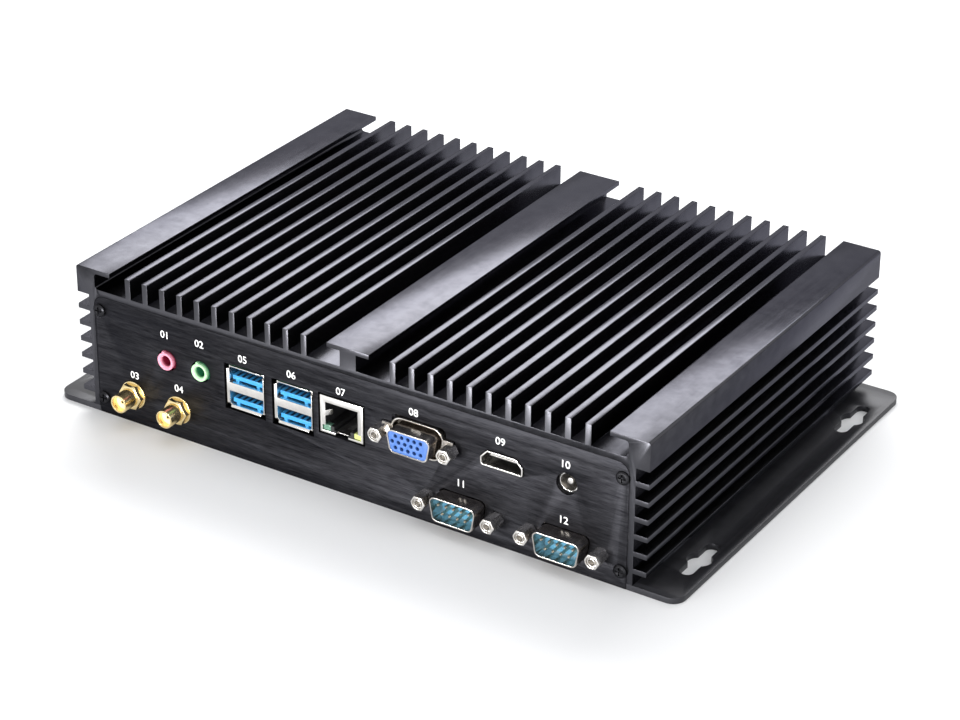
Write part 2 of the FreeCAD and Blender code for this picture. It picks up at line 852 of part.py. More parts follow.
def base_plate():
    """Sheet with an ear each side, notched at both ends for the panels."""
    body = new_body("base_plate_body")
    ear_tip = half_width + size.ear_width
    notch = half_depth - size.panel_thickness - size.panel_gap
    blank = new_sketch(body, "base_blank", "XY_Plane")
    outline(blank, [
        (-ear_tip, -half_depth), (-inner_half, -half_depth), (-inner_half, -notch),
        (inner_half, -notch), (inner_half, -half_depth), (ear_tip, -half_depth),
        (ear_tip, half_depth), (inner_half, half_depth), (inner_half, notch),
        (-inner_half, notch), (-inner_half, half_depth), (-ear_tip, half_depth),
    ])
    pad(body, "base_sheet", blank, size.base_thickness)
    tips = [(ear_tip * side, half_depth * end) for side in (-1, 1) for end in (-1, 1)]
    round_off(body, "ear_corners", size.ear_corner, "z", tips)

    x = half_width + size.keyhole_offset
    y = half_depth - size.keyhole_inset
    slots = new_sketch(body, "keyhole_slots", "XY_Plane")
    heads = new_sketch(body, "keyhole_heads", "XY_Plane")
    for side in (-1, 1):
        for end in (-1, 1):
            slot(slots, x * side, y * end, size.keyhole_length, size.keyhole_slot)
            circle(heads, x * side, y * end, size.keyhole_head)
    pocket(body, "slots", slots, size.base_thickness, backwards=True)
    pocket(body, "heads", heads, size.base_thickness, backwards=True)

    sinks = [
        cone(f"base_sink_{number}", size.flat_head, size.flat_thread + size.screw_clearance,
             0, (size.flat_head - size.flat_thread - size.screw_clearance) / 2, "z", spot)
        for number, spot in enumerate(base_screw_spots() + drive_screw_spots(), start=1)
    ]
    holes = [
        cylinder(f"base_hole_{number}", size.flat_thread + size.screw_clearance,
                 0, size.base_thickness, "z", spot)
        for number, spot in enumerate(base_screw_spots() + drive_screw_spots(), start=1)
    ]
    finish("base_plate", cut("base_plate_cut", body, *sinks, *holes))


def panel_blank(label):
    """A panel in its own frame: outer face at y = 0, underside at z = 0."""
    body = new_body(label + "_body")
    sheet_sketch = new_sketch(body, label + "_outline", "XZ_Plane")
    rectangle(sheet_sketch, (-panel_half, panel_half), (0, panel_top))
    pad(body, label + "_sheet", sheet_sketch, size.panel_thickness, backwards=True)
    corners = [(-panel_half, panel_top), (panel_half, panel_top)]
    round_off(body, label + "_corners", size.panel_corner, "y", corners)
    holes = new_sketch(body, label + "_screw_holes", "XZ_Plane")
    for x, z in panel_screw_spots():
        circle(holes, x, z, size.small_thread + size.screw_clearance)
    pocket(body, label + "_screw_cuts", holes, size.panel_thickness)
    return body


def panel_screw_spots():
    return [(port_x * side, height) for side in (-1, 1) for height in (size.port_rise, port_high)]


def port_window(sketch, x, z, width, height, gap):
    across = as_size(width) / 2 + gap
    up = as_size(height) / 2 + gap
    rectangle(sketch, (x - across, x + across), (z - up, z + up))


def io_panel():
    body = panel_blank("io_panel")
    square = new_sketch(body, "square_windows", "XZ_Plane")
    for x in usb_places:
        port_window(square, x, usb_z, size.usb_width, size.usb_height, size.usb_cutout_gap)
    port_window(square, size.lan_place, lan_z, size.lan_width, size.lan_height, size.lan_cutout_gap)
    ears = size.lock_spacing + size.vga_ear_reach * 2
    port_window(square, size.vga_place, vga_z, ears, size.vga_ear_height, size.cutout_gap)
    hdmi_spots = hdmi_corners(size.hdmi_place, hdmi_z, size.cutout_gap)
    outline(square, hdmi_spots)
    body.Tip = pocket(body, "square_cuts", square, size.panel_thickness)
    round_off(body, "hdmi_window_corners", size.hdmi_corner + size.cutout_gap, "y", hdmi_spots)

    round_holes = new_sketch(body, "round_windows", "XZ_Plane")
    for x in (size.mic_place, size.speaker_place):
        circle(round_holes, x, audio_z, size.audio_hole)
    for x in antenna_places:
        circle(round_holes, x, size.antenna_rise, size.barrel + size.screw_clearance)
    circle(round_holes, size.dc_place, dc_z, size.dc_hole)
    for x, z in lock_spots():
        circle(round_holes, x, z, size.lock_thread + size.screw_clearance)
    pocket(body, "round_cuts", round_holes, size.panel_thickness)

    d_windows = new_sketch(body, "d_windows", "XZ_Plane")
    rim = size.vga_rim + size.shell_wall + size.cutout_gap
    windows = [d_corners(size.vga_place, vga_z, size.vga_width, size.vga_height, rim)]
    for x in com_places:
        windows.append(d_corners(x, size.com_rise, size.com_width, size.com_height, size.cutout_gap))
    for corners in windows:
        outline(d_windows, corners)
    body.Tip = pocket(body, "d_cuts", d_windows, size.panel_thickness)
    round_off(body, "d_rounds", size.corner, "y", sum(windows, []))
    finish("io_panel", body, y=-half_depth)


def rear_panel():
    """Rear panel, built facing front and turned about, so its x runs the other way."""
    body = panel_blank("rear_panel")
    windows = new_sketch(body, "rear_windows", "XZ_Plane")
    for x in rear_usb_places:
        port_window(windows, -x, usb_z, size.usb_width, size.usb_height, size.usb_cutout_gap)
    circle(windows, -button_place, size.button_rise, size.button_thread + size.screw_clearance)
    for x in light_places:
        circle(windows, -x, size.button_rise, size.status_light + size.screw_clearance)
    pocket(body, "rear_cuts", windows, size.panel_thickness)
    finish("rear_panel", body, y=half_depth, turned=True)


# ---------------------------------------------------------------- screws

def cross_recess(name, depth_start, depth_end, axis):
    """Two crossed bars that cut a screw's drive."""
    arm = size.recess_reach
    half = size.recess_width / 2
    bars = []
    for number, (wide, tall) in enumerate(((arm, half), (half, arm)), start=1):
        if axis == "y":
            bars.append(box(f"{name}_{number}", (-wide, wide), (depth_start, depth_end), (-tall, tall)))
        else:
            bars.append(box(f"{name}_{number}", (-wide, wide), (-tall, tall), (depth_start, depth_end)))
    return bars


def pan_screw(name):
    """Small pan-head screw, seat at y = 0, shank towards the back."""
    height = size.small_head_height
    rim = size.small_head_rim
    head = cylinder(name + "_head", size.small_head, -rim, 0)
    crown = cone(name + "_crown", size.small_head_crown, size.small_head, -height, -rim)
    shank = cylinder(name + "_shank", size.small_thread, 0, size.small_length)
    solid = join(name + "_solid", head, crown, shank)
    bars = cross_recess(name + "_recess", -height, size.recess_depth - height, "y")
    return cut(name, solid, *bars)


def flat_screw(name, length):
    """Countersunk screw with its head's face at z = 0, shank upwards."""
    sink = (size.flat_head - size.flat_thread) / 2
    head = cone(name + "_head", size.flat_head - size.screw_clearance, size.flat_thread, 0, sink, "z")
    shank = cylinder(name + "_shank", size.flat_thread, 0, length, "z")
    bars = cross_recess(name + "_recess", 0, size.recess_depth, "z")
    return cut(name, join(name + "_solid", head, shank), *bars)


def case_screws():
    front = pan_screw("front_screw")
    finish("io_panel_screws", copies("front_screws", front, [
        (x, -half_depth, z) for x, z in panel_screw_spots()]))
    back = copies("back_screws", front, [(x, 0, z) for x, z in panel_screw_spots()])
    finish("rear_panel_screws", back, y=half_depth, turned=True)
    base = flat_screw("base_screw", size.flat_length)
    finish("base_screws", copies("base_screws_set", base, [(x, y, 0) for x, y in base_screw_spots()]))
    drive = flat_screw("drive_screw", size.drive_screw_length)
    finish("drive_screws", copies("drive_screws_set", drive, [(x, y, 0) for x, y in drive_screw_spots()]))


# ---------------------------------------------------------------- front ports
# Each port is built with its axis at x = z = 0 and the panel's face at y = 0.

audio_z = board_under - size.audio_drop
usb_z = board_under - size.usb_drop
lan_z = board_under - size.lan_height / 2
vga_z = board_under - size.vga_drop
hdmi_z = board_under - size.hdmi_drop
dc_z = board_under - size.dc_drop


def lock_spots():
    """Both screwlocks of each D-shaped connector."""
    reach = size.lock_spacing / 2
    middles = [(size.vga_place, vga_z)] + [(x, size.com_rise) for x in com_places]
    return [(x + reach * side, z) for x, z in middles for side in (-1, 1)]


def audio_jack(label, x):
    half = size.audio_width / 2
    housing = box(label + "_housing", (-half, half), (body_front, body_front + size.audio_depth),
                  (-size.audio_below, size.audio_drop))
    collar = cylinder(label + "_collar", size.audio_collar, -size.audio_proud, body_front)
    bore_end = body_front + size.audio_depth - size.audio_floor
    bore = cylinder(label + "_bore", size.audio_bore, -size.audio_proud, bore_end)
    key_left = size.audio_key_place - size.audio_key / 2
    key = box(label + "_key", (key_left, key_left + size.audio_key),
              (size.audio_key_back - size.audio_proud, body_front),
              (size.audio_mouth / 2, size.audio_hole / 2 - size.audio_key_gap))
    sink_end = (size.audio_mouth - size.audio_bore) / 2 - size.audio_proud
    sink = cone(label + "_sink", size.audio_mouth, size.audio_bore, -size.audio_proud, sink_end)
    solid = cut(label + "_solid", join(label + "_outside", housing, collar, key), bore, sink)
    finish(label, solid, x, -half_depth, audio_z)


def antenna_parts():
    """Gold bulkhead sockets, each with a washer and a nut on the panel."""
    mouth = -size.barrel_proud
    inside = size.panel_thickness
    for number, x in enumerate(antenna_places, start=1):
        name = f"antenna_socket_{number}"
        barrel = cylinder(name + "_barrel", size.barrel, mouth, inside)
        shoulder = hexagon(name + "_shoulder", size.antenna_hex, inside, inside + size.antenna_shoulder)
        tail_width = size.barrel_bore + size.antenna_tail_wall * 2
        tail = cylinder(name + "_tail", tail_width, inside, inside + size.antenna_tail)
        bore = cylinder(name + "_bore", size.barrel_bore, mouth, inside + size.antenna_tail)
        solid = cut(name + "_solid", join(name + "_outside", barrel, shoulder, tail), bore)
        finish(name, solid, x, -half_depth, size.antenna_rise)
    spots = [(x, -half_depth, size.antenna_rise) for x in antenna_places]
    washer_face = -size.antenna_washer_thickness
    washer = cut("washer",
                 cylinder("washer_disc", size.antenna_washer, washer_face, 0),
                 cylinder("washer_hole", size.barrel, washer_face, 0))
    finish("antenna_washers", copies("washers", washer, spots))
    nut_face = washer_face - size.antenna_nut_height
    nut = cut("nut",
              bevelled_hexagon("nut_hex", size.antenna_hex, nut_face, washer_face),
              cylinder("nut_hole", size.barrel, nut_face, washer_face))
    finish("antenna_nuts", copies("nuts", nut, spots))
    end = size.panel_thickness + size.antenna_tail
    insulator = cut("insulator",
                    cylinder("insulator_rod", size.barrel_bore, mouth + size.insulator_back, end),
                    cylinder("insulator_hole", size.antenna_pin, mouth, end))
    finish("antenna_insulators", copies("insulators", insulator, spots))
    pin = cut("antenna_pin_solid",
              cylinder("antenna_pin_rod", size.antenna_pin, mouth + size.antenna_pin_back,
                       end + size.antenna_pin_tail),
              cylinder("antenna_pin_hole", size.antenna_pin_bore, mouth,
                       mouth + size.antenna_pin_back + size.antenna_pin_depth))
    finish("antenna_contacts", copies("antenna_pins", pin, spots))


def usb_mouths():
    """Heights (floor, top) of the lower and the upper mouth."""
    low = -size.usb_height / 2 + size.usb_wall
    web = size.usb_web / 2
    return [(low, -web), (web, -low)]


def usb_stack(shell_label, insert_label, x, turned=False):
    """Two sockets one above the other: a metal shell and a moulded insert."""
    half_w = size.usb_width / 2
    half_h = size.usb_height / 2
    front = size.seat_gap
    rear = front + size.usb_depth
    inside = half_w - size.usb_wall
    blocks = [box(shell_label + "_block", (-half_w, half_w), (front, rear), (-half_h, half_h))]
    lip_back = front + size.usb_lip_length
    for side in (-1, 1):
        low_x, high_x = sorted((half_w * side, (half_w + size.usb_lip) * side), key=lambda s: s.number)
        low_z, high_z = sorted((half_h * side, (half_h + size.usb_lip) * side), key=lambda s: s.number)
        name = f"{shell_label}_lip_{side}"
        tall = half_h - size.usb_lip_inset
        wide = half_w - size.usb_lip_inset
        blocks.append(box(name + "_side", (low_x, high_x), (front, lip_back), (-tall, tall)))
        blocks.append(box(name + "_level", (-wide, wide), (front, lip_back), (low_z, high_z)))
    tunnels = []
    for number, (floor, top) in enumerate(usb_mouths(), start=1):
        low, high = (floor - size.usb_flare, top) if number == 1 else (floor, top + size.usb_flare)
        flared = (-inside - size.usb_flare, inside + size.usb_flare, low, high)
        tunnels.append(box(f"{shell_label}_mouth_{number}", (-inside, inside), (front, rear), (floor, top)))
        tunnels.append(taper(f"{shell_label}_flare_{number}", flared, (-inside, inside, floor, top),
                             front, front + size.usb_flare_depth))
    near = half_w - size.usb_corner_cut
    far = half_w + size.usb_lip
    low, high = half_h - size.usb_corner_cut, half_h + size.usb_lip
    for side, across in ((-1, (-far, -near)), (1, (near, far))):
        for end, up in ((-1, (-high, -low)), (1, (low, high))):
            tunnels.append(box(f"{shell_label}_corner_{side}_{end}", across, (front, lip_back), up))
    shell = cut(shell_label + "_solid", join(shell_label + "_outside", *blocks), *tunnels)

    block_back = rear + size.insert_back
    pieces = [box(insert_label + "_back", (-half_w, half_w), (rear, block_back), (-half_h, size.usb_drop))]
    for number, (floor, top) in enumerate(usb_mouths(), start=1):
        low = floor + size.tongue_rise
        wide = inside - size.tongue_inset
        pieces.append(box(f"{insert_label}_tongue_{number}", (-wide, wide),
                          (front + size.tongue_back, rear), (low, low + size.tongue_thickness)))
        pieces.append(box(f"{insert_label}_root_{number}", (-inside, inside),
                          (rear - size.insert_root, rear), (floor, top)))
        tip = front + size.tongue_back
        for side, start in (("left", size.tongue_foot - wide), ("right", wide - size.tongue_foot * 2)):
            pieces.append(box(f"{insert_label}_foot_{number}_{side}", (start, start + size.tongue_foot),
                              (tip, tip + size.tongue_foot), (floor, low)))
    insert = join(insert_label + "_solid", *pieces)
    y = half_depth if turned else -half_depth
    finish(shell_label, shell, x, y, usb_z, turned)
    finish(insert_label, insert, x, y, usb_z, turned)


def usb_contacts():
    """Five flat contacts on top of each blue tongue."""
    start = size.seat_gap + size.tongue_back + size.contact_back
    strips = []
    for stack, x in enumerate(usb_places, start=1):
        for port, (floor, top) in enumerate(usb_mouths(), start=1):
            low = floor + size.tongue_rise + size.tongue_thickness
            for number in range(-2, 3):
                left = x + size.contact_pitch * number - size.contact_width / 2
                strips.append(box(
                    f"contact_{stack}_{port}_{number + 3}",
                    (left, left + size.contact_width),
                    (start - half_depth, start + size.contact_length - half_depth),
                    (usb_z + low, usb_z + low + size.contact_height),
                ))
    finish("usb3_contacts", group("usb3_contact_set", strips))


def lan_parts():
    """Network socket: metal shell, black insert, eight wires and two lights."""
    half_w = size.lan_width / 2
    half_h = size.lan_height / 2
    rear = size.lan_depth
    wall = size.lan_wall
    mouth_top = half_h - size.jack_top
    mouth_low = mouth_top - size.jack_height
    mouth_half = size.jack_width / 2
    latch_low = mouth_low - size.latch_height

    shell_block = box("lan_block", (-half_w, half_w), (0, rear), (-half_h, half_h))
    inside = box("lan_inside", (wall - half_w, half_w - wall), (wall, rear), (wall - half_h, half_h - wall))
    window = box("lan_window", (-mouth_half, mouth_half), (0, wall), (mouth_low, mouth_top))
    frame = half_w - size.lan_frame
    lower = box("lan_lower", (-frame, frame), (0, wall),
                (size.lan_sill - half_h, mouth_low))
    slot_across = (-size.latch_slot / 2, size.latch_slot / 2)
    notch = box("lan_notch", slot_across, (0, size.lan_notch), (-half_h, mouth_low))
    shell = cut("lan_shell_cut", shell_block, inside, window, lower, notch)
    finger = new_body("lan_finger")
    top_view = new_sketch(finger, "lan_finger_outline", "XY_Plane",
                           mouth_top - size.lan_spring_drop - size.lan_spring)
    tip = size.lan_spring_bend - mouth_half
    outline(top_view, [
        (-mouth_half - wall, 0), (-mouth_half, 0), (tip, size.lan_spring_length),
        (tip - wall, size.lan_spring_length), (-mouth_half, wall), (-mouth_half - wall, wall),
    ])
    pad(finger, "lan_finger_sheet", top_view, size.lan_spring)
    finish("lan_shell", join("lan_shell_solid", shell, finger), size.lan_place, -half_depth, lan_z)

    core = box("lan_core", (wall - half_w, half_w - wall), (wall, rear - size.lan_core_gap),
               (wall - half_h, half_h - wall))
    mouth = box("lan_mouth", (-mouth_half, mouth_half), (wall, size.jack_depth), (mouth_low, mouth_top))
    latch = box("lan_latch", (-size.latch_width / 2, size.latch_width / 2), (wall, size.jack_depth),
                (latch_low, mouth_low))
    slot_box = box("lan_slot", slot_across, (wall, size.jack_depth), (wall - half_h, mouth_low))
    lamp_low = size.lan_sill - half_h
    lamps = []
    pockets = []
    for side in (-1, 1):
        middle = (frame - size.light_width / 2) * side
        across = (middle - size.light_width / 2, middle + size.light_width / 2)
        lamp_top = lamp_low + size.light_height
        lamps.append(box(f"lan_light_{side}", across, (wall, size.light_depth), (lamp_low, lamp_top)))
        pockets.append(box(f"lan_pocket_{side}", across, (wall, size.light_depth),
                           (lamp_low, lamp_top + size.light_headroom)))
    finish("lan_insert", cut("lan_insert_solid", core, mouth, latch, slot_box, *pockets),
           size.lan_place, -half_depth, lan_z)
    finish("lan_lights", group("lan_light_set", lamps), size.lan_place, -half_depth, lan_z)

    wires = []
    for number in range(8):
        left = size.lan_contact_pitch * (number - 3.5) - size.lan_contact / 2
        wires.append(box(f"lan_wire_{number + 1}", (left, left + size.lan_contact),
                         (size.lan_contact_back, size.jack_depth), (mouth_top - size.lan_contact, mouth_top)))
    finish("lan_contacts", group("lan_contact_set", wires), size.lan_place, -half_depth, lan_z)


def d_body(name, width, height, front, back, grow=0):
    """A D-shaped bar with rounded corners between two y places."""
    body = new_body(name)
    sketch = new_sketch(body, name + "_outline", "XZ_Plane", -as_size(front))
    corners = d_corners(0, 0, width, height, grow)
    outline(sketch, corners)
    pad(body, name + "_bar", sketch, as_size(back) - front, backwards=True)
    round_off(body, name + "_corners", size.corner + grow, "y", corners)
    return body


def dsub_shell(name, width, height, rim=False):
    """Flange behind the panel and the D-shaped shell drawn through it."""
    inner = size.panel_thickness
    back = inner + size.flange_thickness
    half_w = flange_width / 2
    half_h = size.flange_height / 2
    reach = size.lock_spacing / 2
    hole_start = inner
    pieces = [
        box(name + "_flange", (-half_w, half_w), (inner, back), (-half_h, half_h)),
        d_body(name + "_tube", width, height, -size.shell_proud, back),
    ]
    tools = [d_body(name + "_inside", width, height, -size.shell_proud, back, -size.shell_wall)]
    if rim:
        hole_start = -size.vga_ear_proud
        ear = reach + size.vga_ear_reach
        tall = size.vga_ear_height / 2
        outside = size.vga_rim + size.shell_wall
        collar = d_body(name + "_rim_outside", width, height, -size.vga_rim_proud, inner, outside)
        ears = box(name + "_ears", (-ear, ear), (hole_start, inner), (-tall, tall))
        gap = d_body(name + "_rim_inside", width, height, -size.vga_rim_proud, inner, size.vga_rim)
        pieces.append(cut(name + "_rim", join(name + "_rim_block", collar, ears), gap))
    for side in (-1, 1):
        tools.append(cylinder(f"{name}_hole_{side}", size.lock_thread + size.screw_clearance,
                              hole_start, back, at=(reach * side, 0)))
    return cut(name + "_solid", join(name + "_outside", *pieces), *tools)


def vga_parts():
    finish("vga_shell", dsub_shell("vga", size.vga_width, size.vga_height, rim=True),
           size.vga_place, -half_depth, vga_z)
    back = size.panel_thickness + size.flange_thickness
    face = size.vga_face_back - size.shell_proud
    front = d_body("vga_face", size.vga_width, size.vga_height, face, back, -size.shell_wall)
    half = size.dsub_body_width / 2
    rear = box("vga_rear", (-half, half), (back, back + size.dsub_body_depth),
               (-size.vga_body_below, size.vga_drop))
    holes = []
    for row in (-1, 0, 1):
        for number in range(-2, 3):
            row_middle = size.vga_outer_rows if row else size.vga_middle_row
            x = row_middle + size.vga_pitch * number
            z = size.vga_row * row
            holes.append(cylinder(f"vga_hole_{row + 2}_{number + 3}", size.vga_hole,
                                  face, size.vga_hole_depth + face, at=(x, z)))
    insert = cut("vga_insert_solid", join("vga_insert_outside", front, rear), *holes)
    finish("vga_insert", insert, size.vga_place, -half_depth, vga_z)


def com_parts():
    """Two nine-pin sockets held to the panel by their screwlocks."""
    back = size.panel_thickness + size.flange_thickness
    body_end = back + size.dsub_body_depth
    half = size.dsub_body_width / 2
    tall = size.com_body_height / 2
    for number, x in enumerate(com_places, start=1):
        shell = f"com_shell_{number}"
        shape = dsub_shell(shell + "_part", size.com_width, size.com_height)
        finish(shell, shape, x, -half_depth, size.com_rise)
        insert = f"com_insert_{number}"
        front = d_body(insert + "_face", size.com_width, size.com_height, -size.com_floor, back,
                       -size.shell_wall)
        rear = box(insert + "_rear", (-half, half), (back, body_end), (-tall, tall))
        holes = [
            cylinder(f"{insert}_bore_{pin}", size.com_pin, -size.com_floor, body_end, at=spot)
            for pin, spot in enumerate(com_pin_spots(), start=1)
        ]
        solid = cut(insert + "_solid", join(insert + "_outside", front, rear), *holes)
        finish(insert, solid, x, -half_depth, size.com_rise)
    pin_face = size.com_pin_back - size.shell_proud
    pin_neck = pin_face + size.com_pin_tip
    pin = join("com_pin",
               cone("com_pin_tip", size.com_pin - size.com_pin_tip, size.com_pin, pin_face, pin_neck),
               cylinder("com_pin_rod", size.com_pin, pin_neck, body_end + size.com_pin_tail))
    spots = [(x + dx, -half_depth, size.com_rise + dz) for x in com_places for dx, dz in com_pin_spots()]
    finish("com_pins", copies("com_pin_set", pin, spots))


def com_pin_spots():
    """Five pins in the upper row and four in the lower."""
    upper = [(size.com_pitch * number, size.com_row / 2) for number in range(-2, 3)]
    lower = [(size.com_pitch * (number + 0.5), -size.com_row / 2) for number in range(-2, 2)]
    return upper + lower


def screwlocks():
    """Hexagon posts with a tapped front end and a threaded tail."""
    face = -size.lock_proud
    spots = [(x, -half_depth, z) for x, z in lock_spots()]
    for label, seat, places in (("vga", -size.vga_ear_proud, spots[:2]), ("com", 0, spots[2:])):
        name = label + "_lock"
        head = bevelled_hexagon(name + "_head", size.lock_hex, face, seat)
        tail = cylinder(name + "_stud", size.lock_thread, seat, size.lock_tail)
        bore = cylinder(name + "_hole", size.lock_bore, face, face + size.lock_bore_depth)
        ring_end = face + size.lock_ring_depth
        ring = cut(name + "_ring",
                   cylinder(name + "_ring_outside", size.lock_ring, face, ring_end),
                   cylinder(name + "_ring_core", size.lock_core, face, ring_end))
        lock = cut(name, join(name + "_outside", head, tail), bore, ring)
        finish(label + "_screwlocks", copies(label + "_locks", lock, places))


def hdmi_corners(x=0, z=0, grow=0):
    """Six corners: full width below, sides leaning in to the narrow top."""
    x, z = as_size(x), as_size(z)
    wide = size.hdmi_width / 2 + grow
    narrow = size.hdmi_top / 2 + as_size(grow) * 0.5
    half = size.hdmi_height / 2 + grow
    bend = z - size.hdmi_height / 2 + size.hdmi_side + as_size(grow) * 0.5
    return [
        (x - wide, z - half), (x + wide, z - half), (x + wide, bend),
        (x + narrow, z + half), (x - narrow, z + half), (x - wide, bend),
    ]


def hdmi_bar(name, front, back, grow=0):
    body = new_body(name)
    sketch = new_sketch(body, name + "_outline", "XZ_Plane", -as_size(front))
    outline(sketch, hdmi_corners(grow=grow))
    pad(body, name + "_bar", sketch, as_size(back) - front, backwards=True)
    round_off(body, name + "_corners", size.hdmi_corner + grow, "y", hdmi_corners(grow=grow))
    return body


def hdmi_parts():
    front = -size.hdmi_proud
    back = size.hdmi_depth
    half = size.hdmi_height / 2
    outside = hdmi_bar("hdmi_outside", front, back)
    tab_half = size.hdmi_tab_width / 2
    tab_back = back - size.hdmi_root
    tabs = [
        box(f"hdmi_tab_{side}",
            (size.hdmi_tab_place * side - tab_half, size.hdmi_tab_place * side + tab_half),
            (tab_back - size.hdmi_tab_length, tab_back), (half - size.hdmi_wall, size.hdmi_drop))
        for side in (-1, 1)
    ]
    inside = hdmi_bar("hdmi_inside", front, back, -size.hdmi_wall)
    shell = cut("hdmi_shell_solid", join("hdmi_shell_outside", outside, *tabs), inside)
    finish("hdmi_shell", shell, size.hdmi_place, -half_depth, hdmi_z)
    root = hdmi_bar("hdmi_root", tab_back, back, -size.hdmi_wall)
    tongue_half = size.hdmi_tongue / 2
    tongue_top = half - size.hdmi_wall - size.hdmi_tongue_drop
    tongue = box("hdmi_tongue", (-tongue_half, tongue_half), (size.hdmi_tongue_back, tab_back),
                 (tongue_top - size.hdmi_tongue_thickness, tongue_top))
    finish("hdmi_insert", join("hdmi_insert_solid", root, tongue), size.hdmi_place, -half_depth, hdmi_z)


def dc_parts():
    """Barrel power inlet: black body, bright sleeve and centre pin."""
    half = size.dc_width / 2
    rear = body_front + size.dc_depth
    face = size.dc_face_back
    floor = rear - size.dc_floor
    body = box("dc_block", (-half, half), (body_front, rear), (-size.dc_below, size.dc_drop))
    barrel = cylinder("dc_barrel_rod", size.dc_barrel, face, body_front)
    sleeve_width = size.dc_bore + size.dc_sleeve * 2
    bore = cylinder("dc_bore_tool", sleeve_width, face, floor)
    lip_bore = cylinder("dc_lip_bore", size.dc_lip, face, body_front)
    pin_hole = cylinder("dc_pin_hole", size.dc_pin, floor, rear)
    solid = cut("dc_solid", join("dc_outside", body, barrel), bore, lip_bore, pin_hole)
    finish("dc_jack_body", solid, size.dc_place, -half_depth, dc_z)
    rod = cylinder("dc_sleeve_rod", sleeve_width, face, floor)
    lip = cylinder("dc_sleeve_lip", size.dc_lip, face, body_front)
    hole = cylinder("dc_sleeve_hole", size.dc_bore, face, floor)
    finish("dc_jack_sleeve", cut("dc_sleeve_solid", join("dc_sleeve_outside", rod, lip), hole),
           size.dc_place, -half_depth, dc_z)
    pin = cylinder("dc_pin_rod", size.dc_pin, size.dc_pin_back, rear)
    finish("dc_jack_pin", pin, size.dc_place, -half_depth, dc_z)


# ---------------------------------------------------------------- rear fittings
# Built facing front like the front ports, then turned about.

def power_button():
    """Metal push button: threaded bezel, cap that travels in it, and a nut."""
    face = -size.button_bezel_proud
    back = size.button_depth
    bore = size.button_cap + size.button_gap * 2
    cap_rear = size.button_cap_depth
    floor = cap_rear + size.button_travel + size.button_gap
    flange = cylinder("bezel_flange", size.button_bezel, face, 0)
    barrel = cylinder("bezel_barrel", size.button_thread, 0, back)
    well = cylinder("bezel_well", bore, face, floor)
    bezel = cut("bezel_solid", join("bezel_outside", flange, barrel), well)
    finish("power_button_bezel", bezel, button_place, half_depth, size.button_rise, turned=True)
    nut = cut("button_nut_solid",
              hexagon("button_nut_hex", size.button_nut, size.panel_thickness,
                      size.panel_thickness + size.button_nut_height),
              cylinder("button_nut_hole", size.button_thread, size.panel_thickness,
                       size.panel_thickness + size.button_nut_height))
    finish("power_button_nut", nut, button_place, half_depth, size.button_rise, turned=True)
    cap_face = face - size.button_cap_proud
    cap = cylinder("button_cap_rod", size.button_cap, cap_face, cap_rear)
    finish("power_button_cap", cap, button_place, half_depth, size.button_rise, turned=True)


def status_lights():
    lamp = cylinder("status_lamp", size.status_light, -size.status_proud, size.status_depth)
    spots = [(-x, 0, size.button_rise) for x in light_places]
    finish("status_lights", copies("status_lamps", lamp, spots), y=half_depth, turned=True)


# ---------------------------------------------------------------- inside

def mainboard():
    """Board hung under the ceiling, ports and memory on its underside."""
    left, right = board_edges()
    end = board_half_depth()
    board = box("board_sheet", (left, right), (-end, end), (board_under, board_top))
    holes = [
        cylinder(f"board_hole_{number}", size.small_thread + size.screw_clearance,
                 board_under, board_top, "z", spot)
        for number, spot in enumerate(board_hole_spots(), start=1)
    ]
    finish("mainboard", cut("mainboard_solid", board, *holes))


def board_fixings():
    post = join("post_outside",
                hexagon("post_hex", size.standoff_hex, board_top, ceiling, "z"),
                cylinder("post_stub", size.small_thread, ceiling, ceiling + size.standoff_stub, "z"))
    screw_top = board_under + size.board_screw_length
    hole = cylinder("post_hole", size.small_thread + size.thread_fit, board_top, screw_top, "z")
    spots = [(x, y, 0) for x, y in board_hole_spots()]
    finish("board_standoffs", copies("posts", cut("post", post, hole), spots))
    head_low = board_under - size.small_head_height
    screw = join("board_screw_outside",
                 cylinder("board_screw_head", size.small_head, head_low, board_under, "z"),
                 cylinder("board_screw_shank", size.small_thread, board_under, screw_top, "z"))
    bars = cross_recess("board_screw_recess", head_low, head_low + size.recess_depth, "z")
    finish("board_screws", copies("board_screw_set", cut("board_screw", screw, *bars), spots))


